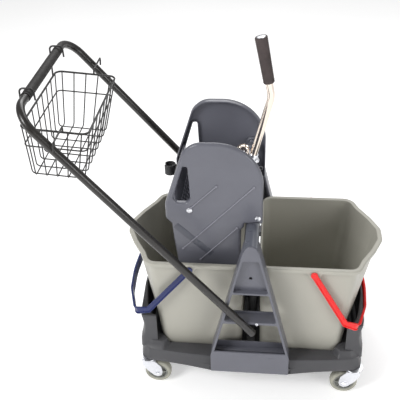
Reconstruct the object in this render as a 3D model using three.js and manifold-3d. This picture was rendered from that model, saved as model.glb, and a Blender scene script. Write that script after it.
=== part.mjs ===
// Double-bucket mop trolley with a lever-operated press wringer.
// Millimetres, +Z up. X runs along the trolley (push handle at -X), Y across it.
// The layout is drawn about the middle of the trolley, and one group moves it to its origin.

import * as THREE from 'three';
import { mergeVertices } from 'three/addons/utils/BufferGeometryUtils.js';
import Module from 'manifold-3d';

const wasm = await Module();
wasm.setup();

// ---- driving dimensions -------------------------------------------------
const GAP = 0.3;                 // clearance between touching pieces
const ORIGIN_X = 94.9;           // moves the trolley's box centre onto X = 0

const WHEEL_R = 35;              // tyre circumradius
const WHEEL_SIDES = 28;
const WHEEL_W = 22;
const HUB_R = 25;
const AXLE_R = 3.5;
const AXLE_Z = WHEEL_R * Math.cos(Math.PI / WHEEL_SIDES);
const CASTER_X = 266;
const CASTER_Y = 158;
const TRAIL = 24;

const SKIRT_Z = 85;              // underside of the chassis skirt
const DECK_Z = 104;              // floor the buckets stand on
const LEDGE_Z = 121;             // top of the skirt
const CHASSIS_X = 284;
const WELL_Y = 140;              // half width of the bucket well
const WELL_X = 268;
const END_WALL_Z = 220;

const FOOT_X = 98;               // half width of an upright's foot
const UPRIGHT_BACK_Y = 157;
const UPRIGHT_FRONT_Y = 200;
const FOOT_TOP_Z = 156;
const BAR_R = 16;                // half width of the arched crossbar
const BAR_TOP_Z = 489;
const BAR_LOW_Z = 456;

const BUCKET_FLOOR_Z = 105;
const RIM_Z = 392;
const RIM_H = 6;
const WALL = 3;
const BUCKET_Y = 143;            // inside half width at the rim
const BUCKET_IN_X = 22.6;        // inside of the inner end wall at the rim
const RIM_OUT = 12;              // flange width
const RIM_OUT_END = 5;           // flange width at the inner end
const PIVOT_X = 148;
const PIVOT_Z = 379;
const BAIL_Y = 158.5;            // middle of a bail's arm
const BAIL_T = 5;
const BAIL_ARM = 170;
const BAIL_BEND = 42;            // degrees between a bail's arms and its grip

const SHAFT_X = -11;             // wringer shaft
const SHAFT_Z = 585;
const SHAFT_R = 8;
const CHEEK_OUT_Y = 115;
const CHEEK_T = 4;
const CHEEK_FLANGE = 14;
const BED_R = 194;               // inside radius of the curved press bed
const PRESS_R = 187;
const PRESS_REST = 252;          // direction of the press plate at rest, degrees from +X
const LEVER_LEAN = 14.4;         // degrees from upright at rest
const LEVER_R = 8.75;

const HANDLE_Y = 208;
const HANDLE_R = 9.5;
const HANDLE_TOP = { x: -485, z: 812 };
const HANDLE_END = { x: 8, z: 231 };
const HANDLE_BEND = 55;

const BASKET = { x: -428.5, z: 742.5, tilt: 4.8, topX: 75, topY: 150, lowX: 67, lowY: 115, depth: 133 };
const RIM_WIRE_R = 2.6;
const WIRE_R = 1.6;

// ---- materials ------------------------------------------------------------
const finish = (color, roughness, metalness) =>
  new THREE.MeshStandardMaterial({ color, roughness, metalness });
const CHASSIS_GREY = finish(0x4b4b4e, 0.55, 0);
const WRINGER_GREY = finish(0x6c6c75, 0.45, 0);
const BUCKET_GREY = finish(0xaaa89e, 0.5, 0);
const BAIL_RED = finish(0xf21212, 0.4, 0);
const BAIL_BLUE = finish(0x0c2c74, 0.4, 0);
const BLACK_STEEL = finish(0x2c2927, 0.4, 0.4);
const BLACK_RUBBER = finish(0x2e2a2a, 0.8, 0);
const ZINC = finish(0xd6d8dc, 0.3, 1);
const CHROME = finish(0xe9e6e2, 0.12, 1);
const TYRE_GREY = finish(0x95958c, 0.7, 0);
const HUB_GREY = finish(0x6f706c, 0.6, 0);
const CLIP_BLACK = finish(0x232323, 0.6, 0);

// ---- solids ---------------------------------------------------------------
const rad = THREE.MathUtils.degToRad;

function solid(geometry) {
  const bare = geometry.index ? geometry.toNonIndexed() : geometry.clone();
  bare.deleteAttribute('normal');
  bare.deleteAttribute('uv');
  const merged = mergeVertices(bare, 1e-4);
  const vertProperties = new Float32Array(merged.attributes.position.array);
  const triVerts = new Uint32Array(merged.index.array);
  return new wasm.Manifold(new wasm.Mesh({ numProp: 3, vertProperties, triVerts }));
}

function piece(name, shape, material) {
  const { vertProperties, triVerts } = shape.getMesh();
  const geometry = new THREE.BufferGeometry();
  geometry.setAttribute('position', new THREE.BufferAttribute(new Float32Array(vertProperties), 3));
  geometry.setIndex(new THREE.BufferAttribute(new Uint32Array(triVerts), 1));
  geometry.computeVertexNormals();
  const mesh = new THREE.Mesh(geometry, material);
  mesh.name = name;
  return mesh;
}

function join(...shapes) {
  return shapes.flat().reduce((sum, shape) => sum.add(shape));
}

function block(x0, y0, z0, x1, y1, z1) {
  const geometry = new THREE.BoxGeometry(x1 - x0, y1 - y0, z1 - z0);
  geometry.translate((x0 + x1) / 2, (y0 + y1) / 2, (z0 + z1) / 2);
  return solid(geometry);
}

function shapeOf(points) {
  return new THREE.Shape(points.map(([x, y]) => new THREE.Vector2(x, y)));
}

// Outline in X and Y, standing on z0.
function slab(points, z0, z1) {
  const geometry = new THREE.ExtrudeGeometry(shapeOf(points), { depth: z1 - z0, bevelEnabled: false });
  geometry.translate(0, 0, z0);
  return solid(geometry);
}

// Outline in X and Z, running from y0 to y1.
function profile(points, y0, y1) {
  const geometry = new THREE.ExtrudeGeometry(shapeOf(points), { depth: y1 - y0, bevelEnabled: false });
  geometry.rotateX(Math.PI / 2);
  geometry.translate(0, y1, 0);
  return solid(geometry);
}

// Two outlines with the same number of points, joined into one drafted solid.
function loft(lower, upper, z0, z1) {
  const geometry = new THREE.ExtrudeGeometry(shapeOf(lower), { depth: 1, bevelEnabled: false });
  const position = geometry.attributes.position;
  for (let i = 0; i < position.count; i += 1) {
    const x = position.getX(i);
    const y = position.getY(i);
    const top = position.getZ(i) > 0.5;
    const k = lower.findIndex(([u, v]) => Math.hypot(u - x, v - y) < 1e-3);
    const [u, v] = top ? upper[k] : lower[k];
    position.setXYZ(i, u, v, top ? z1 : z0);
  }
  return solid(geometry);
}

// Straight round bar between two points.
function rod(from, to, radius, sides = 16) {
  const a = new THREE.Vector3(...from);
  const b = new THREE.Vector3(...to);
  const along = b.clone().sub(a);
  const geometry = new THREE.CylinderGeometry(radius, radius, along.length(), sides);
  const turn = new THREE.Quaternion().setFromUnitVectors(new THREE.Vector3(0, 1, 0), along.clone().normalize());
  geometry.applyQuaternion(turn);
  geometry.translate(...a.add(b).multiplyScalar(0.5));
  return solid(geometry);
}

// Round bar along a run of points, with each corner bent to a radius.
function bentRod(points, bend, radius, sides = 12, bendSteps = 6) {
  const corner = points.map((p) => new THREE.Vector3(...p));
  const section = new THREE.Shape(
    Array.from({ length: sides }, (_, i) => {
      const angle = (2 * Math.PI * i) / sides;
      return new THREE.Vector2(radius * Math.cos(angle), radius * Math.sin(angle));
    }),
  );
  const parts = [];
  let start = corner[0];
  for (let i = 1; i < corner.length; i += 1) {
    const back = corner[i - 1].clone().sub(corner[i]).normalize();
    if (i === corner.length - 1) {
      parts.push(rod(start.toArray(), corner[i].toArray(), radius, sides));
      break;
    }
    const ahead = corner[i + 1].clone().sub(corner[i]).normalize();
    const half = back.angleTo(ahead) / 2;
    const cut = bend / Math.tan(half);
    const enter = corner[i].clone().addScaledVector(back, cut);
    const leave = corner[i].clone().addScaledVector(ahead, cut);
    const centre = corner[i].clone().addScaledVector(back.clone().add(ahead).normalize(), bend / Math.sin(half));
    const from = enter.clone().sub(centre);
    const to = leave.clone().sub(centre);
    const sweep = from.angleTo(to);
    const over = 0.4 / bend;
    const arc = new THREE.Curve();
    arc.getPoint = (t) => {
      const angle = -over + t * (sweep + 2 * over);
      const k = Math.sin(sweep);
      return centre
        .clone()
        .addScaledVector(from, Math.sin(sweep - angle) / k)
        .addScaledVector(to, Math.sin(angle) / k);
    };
    parts.push(rod(start.toArray(), enter.toArray(), radius, sides));
    parts.push(solid(new THREE.ExtrudeGeometry(section, { steps: bendSteps, extrudePath: arc, bevelEnabled: false })));
    start = leave;
  }
  return join(parts);
}

// Points of a circle's arc, in degrees.
function arc(cx, cy, radius, from, to, steps) {
  return Array.from({ length: steps + 1 }, (_, i) => {
    const angle = rad(from + ((to - from) * i) / steps);
    return [cx + radius * Math.cos(angle), cy + radius * Math.sin(angle)];
  });
}

// The outline moved inwards by a distance; it runs anticlockwise.
function inset(points, distance) {
  return points.map(([x, y], i) => {
    const [ax, ay] = points[(i + points.length - 1) % points.length];
    const [bx, by] = points[(i + 1) % points.length];
    const u = new THREE.Vector2(x - ax, y - ay).normalize();
    const v = new THREE.Vector2(bx - x, by - y).normalize();
    const nu = new THREE.Vector2(-u.y, u.x);
    const nv = new THREE.Vector2(-v.y, v.x);
    const mid = nu.clone().add(nv).normalize();
    const reach = distance / Math.max(0.4, mid.dot(nu));
    return [x + mid.x * reach, y + mid.y * reach];
  });
}

const mirrorX = (shape) => shape.mirror([1, 0, 0]);
const mirrorY = (shape) => shape.mirror([0, 1, 0]);

const trolley = new THREE.Group();
trolley.position.x = ORIGIN_X;

// ---- chassis ----------------------------------------------------------------
function chassisTray() {
  const half = [
    [100, 183], [262, 165], [276, 152], [CHASSIS_X, 132],
  ];
  const quarter = (points, sx, sy) => points.map(([x, y]) => [sx * x, sy * y]);
  const outline = [
    ...quarter(half, 1, -1), ...quarter(half, 1, 1).reverse(),
    ...quarter(half, -1, 1), ...quarter(half, -1, -1).reverse(),
  ];
  const skirt = slab(outline, SKIRT_Z, LEDGE_Z);
  const under = block(-228, -150, SKIRT_Z - 1, 228, 150, DECK_Z - 4);
  const wellPlan = [[-WELL_X, -122], [-228, -125], [-214, -WELL_Y], [214, -WELL_Y], [228, -125], [WELL_X, -122]];
  const well = slab([...wellPlan, ...wellPlan.map(([x, y]) => [x, -y]).reverse()], DECK_Z, LEDGE_Z + 1);
  const footSeat = (side) => {
    const back = side * (UPRIGHT_BACK_Y - GAP);
    const front = side * 220;
    const edge = FOOT_X + GAP;
    return block(-edge, Math.min(back, front), SKIRT_Z - 1, edge, Math.max(back, front), LEDGE_Z + 1);
  };
  let tray = skirt.subtract(under).subtract(well).subtract(footSeat(-1)).subtract(footSeat(1));
  const centreRib = block(-12, -WELL_Y, DECK_Z - 1, 12, WELL_Y, LEDGE_Z);
  tray = tray.add(centreRib);
  for (const side of [-1, 1]) {
    const wallPlan = [[250, -148], [256, -148], [261, -130], [267, -98], [281, -28]];
    const outer = [...wallPlan, ...wallPlan.map(([x, y]) => [x, -y]).reverse()];
    const inner = [[249, -144], [252.7, -144], [257, -129], [263, -97.5], [277, -27.5]];
    const wall = slab(outer, LEDGE_Z - 5, END_WALL_Z)
      .subtract(slab([...inner, ...inner.map(([x, y]) => [x, -y]).reverse()], LEDGE_Z - 6, END_WALL_Z + 1));
    const corners = [-1, 1].map((k) => {
      const y0 = k < 0 ? -158 : WELL_Y + 0.5;
      const y1 = k < 0 ? -WELL_Y - 0.5 : 158;
      return block(222, y0, LEDGE_Z - 5, 272, y1, LEDGE_Z + 10);
    });
    const end = join(wall, corners);
    tray = tray.add(side > 0 ? end : mirrorX(end));
  }
  return tray;
}
trolley.add(piece('chassis_tray', chassisTray(), CHASSIS_GREY));

// ---- push handle ------------------------------------------------------------
const handlePath = [
  [HANDLE_END.x, -HANDLE_Y, HANDLE_END.z],
  [HANDLE_TOP.x, -HANDLE_Y, HANDLE_TOP.z],
  [HANDLE_TOP.x, HANDLE_Y, HANDLE_TOP.z],
  [HANDLE_END.x, HANDLE_Y, HANDLE_END.z],
];
const sleeveBore = rod([HANDLE_TOP.x, -131, HANDLE_TOP.z], [HANDLE_TOP.x, 131, HANDLE_TOP.z], HANDLE_R + 0.3, 20);
const gripSleeve = rod([HANDLE_TOP.x, -130, HANDLE_TOP.z], [HANDLE_TOP.x, 130, HANDLE_TOP.z], 11.4, 20);
trolley.add(piece('push_handle_tube', bentRod(handlePath, HANDLE_BEND, HANDLE_R, 16, 7), BLACK_STEEL));
trolley.add(piece('push_handle_sleeve', gripSleeve.subtract(sleeveBore), BLACK_RUBBER));

// ---- uprights and crossbar ----------------------------------------------------
const LEG_SLOPE = (FOOT_X - 3 - 18) / (476 - FOOT_TOP_Z);
const legX = (z) => 18 + (476 - z) * LEG_SLOPE;

function trapezium(z0, z1, side) {
  return [[-legX(z0) + side, z0], [legX(z0) - side, z0], [legX(z1) - side, z1], [-legX(z1) + side, z1]];
}

function upright() {
  const outline = [
    [-FOOT_X, SKIRT_Z], [FOOT_X, SKIRT_Z], [legX(FOOT_TOP_Z), FOOT_TOP_Z], [legX(476), 476],
    ...arc(0, BAR_TOP_Z - BAR_R, BAR_R, 20, 160, 8),
    [-legX(476), 476], [-legX(FOOT_TOP_Z), FOOT_TOP_Z],
  ];
  const back = -UPRIGHT_BACK_Y;
  const front = -UPRIGHT_FRONT_Y;
  let shape = profile(outline, front, back);
  const frontPanel = profile(trapezium(350, 446, 8), front - 1, front + 14);
  const backPocket = profile(trapezium(346, 452, 6), front + 17, back + 1);
  const upperGap = profile(trapezium(258, 342, 6), front - 1, back + 1);
  const lowerGap = profile(trapezium(FOOT_TOP_Z, 251, 6), front - 1, back + 1);
  const footWell = block(-88, front + 5, 131, 88, back + 1, FOOT_TOP_Z + 1);
  const footHollow = block(-FOOT_X + 4, front + 4, SKIRT_Z - 1, FOOT_X - 4, back - 4, 127);
  const panelHole = rod([0, front, 386], [0, back, 386], 4, 12);
  const tubeSeat = rod(
    [HANDLE_END.x + 1.3, -HANDLE_Y, HANDLE_END.z - 1.5], [HANDLE_TOP.x, -HANDLE_Y, HANDLE_TOP.z], HANDLE_R + 0.5, 16,
  );
  for (const cut of [frontPanel, backPocket, upperGap, lowerGap, footWell, footHollow, panelHole, tubeSeat]) {
    shape = shape.subtract(cut);
  }
  return shape;
}
trolley.add(piece('near_upright', upright(), WRINGER_GREY));
trolley.add(piece('far_upright', mirrorY(upright()), WRINGER_GREY));

function crossbar() {
  const end = UPRIGHT_BACK_Y - GAP;
  const outer = [[-BAR_R, BAR_LOW_Z], [BAR_R, BAR_LOW_Z], ...arc(0, BAR_TOP_Z - BAR_R, BAR_R, 0, 180, 12)];
  const inner = [
    [-BAR_R + 3, BAR_LOW_Z - 1], [BAR_R - 3, BAR_LOW_Z - 1], ...arc(0, BAR_TOP_Z - BAR_R, BAR_R - 3, 0, 180, 12),
  ];
  return profile(outer, -end, end).subtract(profile(inner, -end - 1, end + 1));
}
trolley.add(piece('arched_crossbar', crossbar(), WRINGER_GREY));

for (const [side, k] of [['near', -1], ['far', 1]]) {
  const face = k * (UPRIGHT_FRONT_Y + GAP);
  const head = rod([16, face, 254.5], [16, face + k * 3, 254.5], 4.5, 12);
  trolley.add(piece(`${side}_handle_screw`, head, ZINC));
}

// ---- casters -------------------------------------------------------------------
function caster(name, sx, sy) {
  const pivot = new THREE.Group();
  pivot.position.set(sx * CASTER_X, sy * CASTER_Y, 0);
  const wheelX = -sx * TRAIL;
  const ring = rod([0, 0, 81.2], [0, 0, SKIRT_Z - GAP], 22, 24);
  const crownTop = 80.9;
  const crown = rod([0, 0, 73.5], [0, 0, crownTop], 19, 24);
  const cheekShape = [
    [-15, crownTop - 2.5], [-14, 66],
    ...arc(wheelX * -sx, AXLE_Z, 11, 200, 340, 8).map(([x, z]) => [x, z]),
    [TRAIL + 13, 60], [19, crownTop - 2.5],
  ];
  const cheekOutline = cheekShape.map(([x, z]) => [-sx * x, z]);
  const ordered = sx > 0 ? cheekOutline.slice().reverse() : cheekOutline;
  const cheeks = [-1, 1].map((k) => profile(ordered, k < 0 ? -16 : 13.5, k < 0 ? -13.5 : 16));
  const bridge = block(Math.min(-sx * -15, -sx * 19), -16, crownTop - 5, Math.max(-sx * -15, -sx * 19), 16, crownTop - 2.5);
  const axleHole = rod([wheelX, -20, AXLE_Z], [wheelX, 20, AXLE_Z], AXLE_R + 0.3, 16);
  const fork = join(crown, cheeks, bridge).subtract(axleHole);
  const axle = join(
    rod([wheelX, -17, AXLE_Z], [wheelX, 17, AXLE_Z], AXLE_R, 16),
    rod([wheelX, -20.5, AXLE_Z], [wheelX, -16.4, AXLE_Z], 6.5, 6),
    rod([wheelX, 16.4, AXLE_Z], [wheelX, 20.5, AXLE_Z], 6.5, 6),
  );
  const bore = rod([wheelX, -30, AXLE_Z], [wheelX, 30, AXLE_Z], AXLE_R + 0.4, 16);
  const hub = rod([wheelX, -10, AXLE_Z], [wheelX, 10, AXLE_Z], HUB_R, 28)
    .add(rod([wheelX, -12.6, AXLE_Z], [wheelX, 12.6, AXLE_Z], 8, 20))
    .subtract(bore);
  const half = WHEEL_W / 2;
  const tread = [
    [HUB_R + 0.3, -half], [WHEEL_R - 3, -half], [WHEEL_R, -half + 4],
    [WHEEL_R, half - 4], [WHEEL_R - 3, half], [HUB_R + 0.3, half], [HUB_R + 0.3, -half],
  ];
  const tyreGeometry = new THREE.LatheGeometry(tread.map(([r, h]) => new THREE.Vector2(r, h)), WHEEL_SIDES);
  tyreGeometry.rotateY(Math.PI / WHEEL_SIDES);
  tyreGeometry.translate(wheelX, 0, AXLE_Z);
  pivot.add(piece(`${name}_caster_ring`, ring, ZINC));
  pivot.add(piece(`${name}_caster_fork`, fork, ZINC));
  pivot.add(piece(`${name}_axle_bolt`, axle, ZINC));
  pivot.add(piece(`${name}_wheel_hub`, hub, HUB_GREY));
  pivot.add(piece(`${name}_tyre`, solid(tyreGeometry), TYRE_GREY));
  return pivot;
}
trolley.add(caster('near_left', -1, -1));
trolley.add(caster('near_right', 1, -1));
trolley.add(caster('far_left', -1, 1));
trolley.add(caster('far_right', 1, 1));

// ---- buckets and bails -----------------------------------------------------------
// Plan of a bucket with a pouring prow: out is added all round, end at the inner end.
function bucketPlan({ inner, width, corner, flank, nose, out, end }) {
  const half = [
    [inner - end, width - 12 + out], [inner - end + 4, width - 4 + out], [inner - end + 12, width + out],
    [corner, width + out], [corner + 9 + out * 0.4, width - 3 + out * 0.9],
    [corner + 16 + out * 0.7, width - 10 + out * 0.7], [corner + 20 + out, width - 18 + out * 0.4],
    [flank + out, 62 + out * 0.3], [flank + 11 + out, 44 + out * 0.3],
    [nose - 4 + out, 26 + out * 0.2], [nose + out, 9],
  ];
  const lower = half.map(([x, y]) => [x, -y]);
  return [...lower, ...half.slice().reverse()];
}
const RIM_PLAN = { inner: BUCKET_IN_X, width: BUCKET_Y, corner: 236, flank: 283, nose: 306 };
const LOW_PLAN = { inner: BUCKET_IN_X + 3.5, width: BUCKET_Y - 11, corner: 208, flank: 236, nose: 247 };

function bucket() {
  const body = loft(
    bucketPlan({ ...LOW_PLAN, out: WALL, end: WALL }), bucketPlan({ ...RIM_PLAN, out: WALL, end: WALL }),
    BUCKET_FLOOR_Z, RIM_Z,
  );
  const flange = slab(bucketPlan({ ...RIM_PLAN, out: RIM_OUT, end: RIM_OUT_END }), RIM_Z - RIM_H, RIM_Z);
  const inside = loft(
    bucketPlan({ ...LOW_PLAN, out: 0, end: 0 }), bucketPlan({ ...RIM_PLAN, out: 0, end: 0 }),
    BUCKET_FLOOR_Z + WALL, RIM_Z + 1,
  );
  const bosses = [-1, 1].map((k) => {
    const inner = k * (BUCKET_Y - 1);
    const outer = k * (BUCKET_Y + 10);
    const lug = block(PIVOT_X - 10, Math.min(inner, outer), PIVOT_Z - 9, PIVOT_X + 10, Math.max(inner, outer), RIM_Z - 1);
    return lug.subtract(rod([PIVOT_X, outer + k, PIVOT_Z], [PIVOT_X, k * (BUCKET_Y + 4.5), PIVOT_Z], 4.4, 16));
  });
  return join(body, flange, bosses).subtract(inside);
}
trolley.add(piece('right_bucket', bucket(), BUCKET_GREY));
trolley.add(piece('left_bucket', mirrorX(bucket()), BUCKET_GREY));

// A bail lies in X with its pivot at the origin, and its grip is bent upwards from the arms.
function bail() {
  const arms = [-1, 1].map((k) => {
    const y0 = k < 0 ? -BAIL_Y - BAIL_T / 2 : BAIL_Y - BAIL_T / 2;
    const flat = block(0, y0, -7, BAIL_ARM, y0 + BAIL_T, 7);
    const eye = rod([0, y0, 0], [0, y0 + BAIL_T, 0], 8, 20);
    const pin = rod([0, k * (BUCKET_Y + 5), 0], [0, k * BAIL_Y, 0], 4, 16);
    return join(flat, eye, pin);
  });
  const outer = [
    [-5, -161], [26, -161], [42, -152], [58, -80], [64, 0], [58, 80], [42, 152], [26, 161], [-5, 161],
  ];
  const inner = [
    [-6, 156], [24, 156], [37.5, 148.5], [53, 79], [59, 0], [53, -79], [37.5, -148.5], [24, -156], [-6, -156],
  ];
  const ringShape = new THREE.ExtrudeGeometry(shapeOf([...outer, ...inner]), { depth: 22, bevelEnabled: false });
  ringShape.translate(0, 0, -11);
  ringShape.rotateY(-rad(BAIL_BEND));
  ringShape.translate(BAIL_ARM, 0, 0);
  return join(arms, solid(ringShape));
}
function placedBail(name, side, droop, material) {
  const mesh = piece(name, side > 0 ? bail() : mirrorX(bail()), material);
  mesh.position.set(side * PIVOT_X, 0, PIVOT_Z);
  mesh.rotation.y = side * rad(droop);
  return mesh;
}
trolley.add(placedBail('red_bail', 1, 60.6, BAIL_RED));
trolley.add(placedBail('blue_bail', -1, 51, BAIL_BLUE));

// ---- wringer ----------------------------------------------------------------------
const CHEEK_OUTLINE = [
  [-27, 350], [-27, 470], [-20, 478], [-20, BAR_TOP_Z + 0.4], [23, BAR_TOP_Z + 0.4], [23, 594],
  ...arc(-84, 594, 107, 6, 90, 10),
  [-118, 700], [-136, 692], [-150, 682], [-160, 668], [-204, 538], [-205, 516], [-203, 497], [-197, 486],
  [-188, 482], [-186, 440], [-172, 372], [-140, 350],
];
const HAND_HOLE = [[-181, 556], [-146, 556], [-148, 636], [-151, 642], [-156, 642], [-159, 637]];

function cheek() {
  const outer = profile(CHEEK_OUTLINE, -CHEEK_OUT_Y, -CHEEK_OUT_Y + CHEEK_FLANGE);
  const pan = profile(inset(CHEEK_OUTLINE, 4), -CHEEK_OUT_Y + CHEEK_T, -CHEEK_OUT_Y + CHEEK_FLANGE + 1);
  const handHole = profile(HAND_HOLE, -CHEEK_OUT_Y - 1, -CHEEK_OUT_Y + CHEEK_FLANGE);
  const boss = rod([SHAFT_X, -CHEEK_OUT_Y + CHEEK_T - 0.5, SHAFT_Z], [SHAFT_X, -CHEEK_OUT_Y + 12, SHAFT_Z], 14, 24)
    .subtract(rod([SHAFT_X, -CHEEK_OUT_Y + CHEEK_T, SHAFT_Z], [SHAFT_X, -90, SHAFT_Z], SHAFT_R + 0.4, 20));
  const rivetHoles = Object.values(RIVETS).map(([x, z]) => rod([x, -120, z], [x, -90, z], 4.3, 12));
  const cuts = [pan, handHole, ...rivetHoles];
  return cuts.reduce((shape, cut) => shape.subtract(cut), outer).add(boss);
}
const RIVETS = { front: [-146.6, 524], rear: [12, 507] };

const wringer = new THREE.Group();
wringer.add(piece('near_wringer_cheek', cheek(), WRINGER_GREY));
wringer.add(piece('far_wringer_cheek', mirrorY(cheek()), WRINGER_GREY));

for (const [end, [x, z]] of Object.entries(RIVETS)) {
  for (const [side, k] of [['near', -1], ['far', 1]]) {
    const outerHead = rod([x, k * (CHEEK_OUT_Y + GAP), z], [x, k * (CHEEK_OUT_Y + 3), z], 7, 14);
    const shank = rod([x, k * (CHEEK_OUT_Y + 1), z], [x, k * (CHEEK_OUT_Y - 6), z], 4, 12);
    const innerHead = rod([x, k * (CHEEK_OUT_Y - CHEEK_T - GAP), z], [x, k * (CHEEK_OUT_Y - 7), z], 6, 14);
    wringer.add(piece(`${side}_${end}_rivet`, join(outerHead, shank, innerHead), ZINC));
  }
}

// Curved press bed about the shaft, running up into the front wall, with drain slots.
function pressBed() {
  const edge = CHEEK_OUT_Y - CHEEK_T - GAP;
  const inside = [[-44, 432], ...arc(SHAFT_X, SHAFT_Z, BED_R, 260, 214, 10), [-181, 575]];
  const outside = [[-185, 575], ...arc(SHAFT_X, SHAFT_Z, BED_R + 4, 214, 262, 10), [-40, 432]];
  let shell = profile([...inside, ...outside].reverse(), -edge, edge);
  for (const angle of [222, 231, 240, 249]) {
    for (let row = -2; row <= 2; row += 1) {
      const slot = new THREE.BoxGeometry(20, 26, 9);
      slot.rotateY(-rad(angle));
      const r = BED_R + 2;
      slot.translate(SHAFT_X + r * Math.cos(rad(angle)), row * 36, SHAFT_Z + r * Math.sin(rad(angle)));
      shell = shell.subtract(solid(slot));
    }
  }
  return shell;
}
wringer.add(piece('press_bed', pressBed(), WRINGER_GREY));

// Lever assembly: the shaft carries the lever and the hanging press plate.
function shaft() {
  const end = CHEEK_OUT_Y - CHEEK_T - GAP;
  return rod([SHAFT_X, -end, SHAFT_Z], [SHAFT_X, end, SHAFT_Z], SHAFT_R, 20);
}
wringer.add(piece('wringer_shaft', shaft(), ZINC));

function aboutShaft(mesh) {
  mesh.position.set(SHAFT_X, 0, SHAFT_Z);
  return mesh;
}
const shaftBore = rod([0, -120, 0], [0, 120, 0], SHAFT_R + GAP, 20);

// The press plate hangs a little behind straight down, its lower edge close to the bed.
function pressPlate() {
  const lean = rad(PRESS_REST);
  const arms = [-1, 1].map((k) => rod([0, k * 70 - 9, 0], [0, k * 70 + 9, 0], 15, 20));
  const plate = new THREE.BoxGeometry(PRESS_R - 22, 190, 6);
  plate.translate((PRESS_R + 22) / 2, 0, 0);
  const ribs = [-70, -24, 24, 70].map((y) => {
    const rib = new THREE.BoxGeometry(PRESS_R - 44, 4, 12);
    rib.translate((PRESS_R + 6) / 2, y, 7);
    return rib;
  });
  const straps = [-1, 1].map((k) => {
    const strap = new THREE.BoxGeometry(34, 18, 6);
    strap.translate(20, k * 70, 0);
    return strap;
  });
  const flat = join([plate, ...ribs, ...straps].map((geometry) => {
    geometry.rotateY(-lean);
    return solid(geometry);
  }));
  return join(arms, flat).subtract(shaftBore);
}
wringer.add(aboutShaft(piece('press_plate', pressPlate(), WRINGER_GREY)));

const leanDir = [Math.sin(rad(LEVER_LEAN)), 0, Math.cos(rad(LEVER_LEAN))];
const along = (s) => [leanDir[0] * s, 0, leanDir[2] * s];
const LEVER_ELBOW = along(182.8);
const LEVER_TOP = [LEVER_ELBOW[0] - 26.4, 0, LEVER_ELBOW[2] + 140.2];
const DRUM = [-18.1, 37];          // centre of the spring drum from the shaft, in X and Z
const elbowToTop = (t) => LEVER_ELBOW.map((v, i) => v + (LEVER_TOP[i] - v) * t);

function leverSocket() {
  const barrel = rod(along(13), along(30), 11.6, 20);
  const boss = rod([0, -17, 0], [0, 17, 0], 15, 24);
  const flange = rod(along(12), along(17), 17.5, 20);
  const cavity = rod(along(16), along(40), LEVER_R + GAP, 16);
  const ear = join(rod([0, 9.6, 0], [0, 14, 0], 12, 20), rod([DRUM[0], 9.6, DRUM[1]], [DRUM[0], 14, DRUM[1]], 9, 20),
    profile([[-10, -3], [8, 6], [DRUM[0] + 8, DRUM[1] + 3], [DRUM[0] - 8, DRUM[1] - 3]], 9.6, 14));
  const pin = rod([DRUM[0], -9.4, DRUM[1]], [DRUM[0], 10, DRUM[1]], 5, 16);
  return join(barrel, boss, flange, ear, pin).subtract(shaftBore).subtract(cavity);
}
wringer.add(aboutShaft(piece('lever_socket', leverSocket(), ZINC)));
wringer.add(aboutShaft(piece('lever_tube', bentRod([along(16.5), LEVER_ELBOW, elbowToTop(0.97)], 60, LEVER_R, 16, 6), CHROME)));

const gripShape = rod(elbowToTop(0.24), elbowToTop(0.985), 14.2, 20);
const gripBore = rod(elbowToTop(0.1), elbowToTop(0.976), LEVER_R + GAP, 16);
wringer.add(aboutShaft(piece('lever_grip', gripShape.subtract(gripBore), BLACK_RUBBER)));
const gripEnd = elbowToTop(0.985);
const capStart = elbowToTop(0.985 + GAP / 144);
wringer.add(aboutShaft(piece('lever_end_cap', rod(capStart, gripEnd.map((v, i) => v + (i === 2 ? 3.2 : i === 0 ? -0.56 : 0)), 11, 20), ZINC)));

// Return spring: a flat coil drum on the pin beside the lever.
function returnSpring() {
  const coils = [-8, -2.6, 2.8].map((y) => rod([DRUM[0], y, DRUM[1]], [DRUM[0], y + 4.6, DRUM[1]], 14.5, 24));
  const core = rod([DRUM[0], -8, DRUM[1]], [DRUM[0], 7.4, DRUM[1]], 12.5, 24);
  return join(core, coils).subtract(rod([DRUM[0], -20, DRUM[1]], [DRUM[0], 20, DRUM[1]], 5 + GAP, 20));
}
wringer.add(aboutShaft(piece('return_spring', returnSpring(), CHROME)));

// Spring clip for a mop stick, on the wringer's front wall.
function mopClip() {
  const cx = -205;
  const cz = 566;
  const ring = rod([cx, 0, cz - 13], [cx, 0, cz + 13], 14, 20)
    .subtract(rod([cx, 0, cz - 20], [cx, 0, cz + 20], 10.5, 20))
    .subtract(block(cx - 20, -6, cz - 20, cx - 4, 6, cz + 20));
  const foot = block(cx + 11, -9, cz - 11, -185.3, 9, cz + 8);
  return ring.add(foot);
}
wringer.add(piece('mop_clip', mopClip(), CLIP_BLACK));
trolley.add(wringer);

// ---- wire basket --------------------------------------------------------------------
const basket = new THREE.Group();
basket.position.set(BASKET.x, 0, BASKET.z);
basket.rotation.y = rad(BASKET.tilt);
const CROSS_WIRES = 8;
const LONG_WIRES = 5;
const spread = (n, half) => Array.from({ length: n }, (_, i) => -half + (2 * half * i) / (n - 1));
const HOOP_T = 0.36;

function taperedX(x, t) {
  return x * (1 + (BASKET.lowX / BASKET.topX - 1) * t);
}
function taperedY(y, t) {
  return y * (1 + (BASKET.lowY / BASKET.topY - 1) * t);
}

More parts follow.
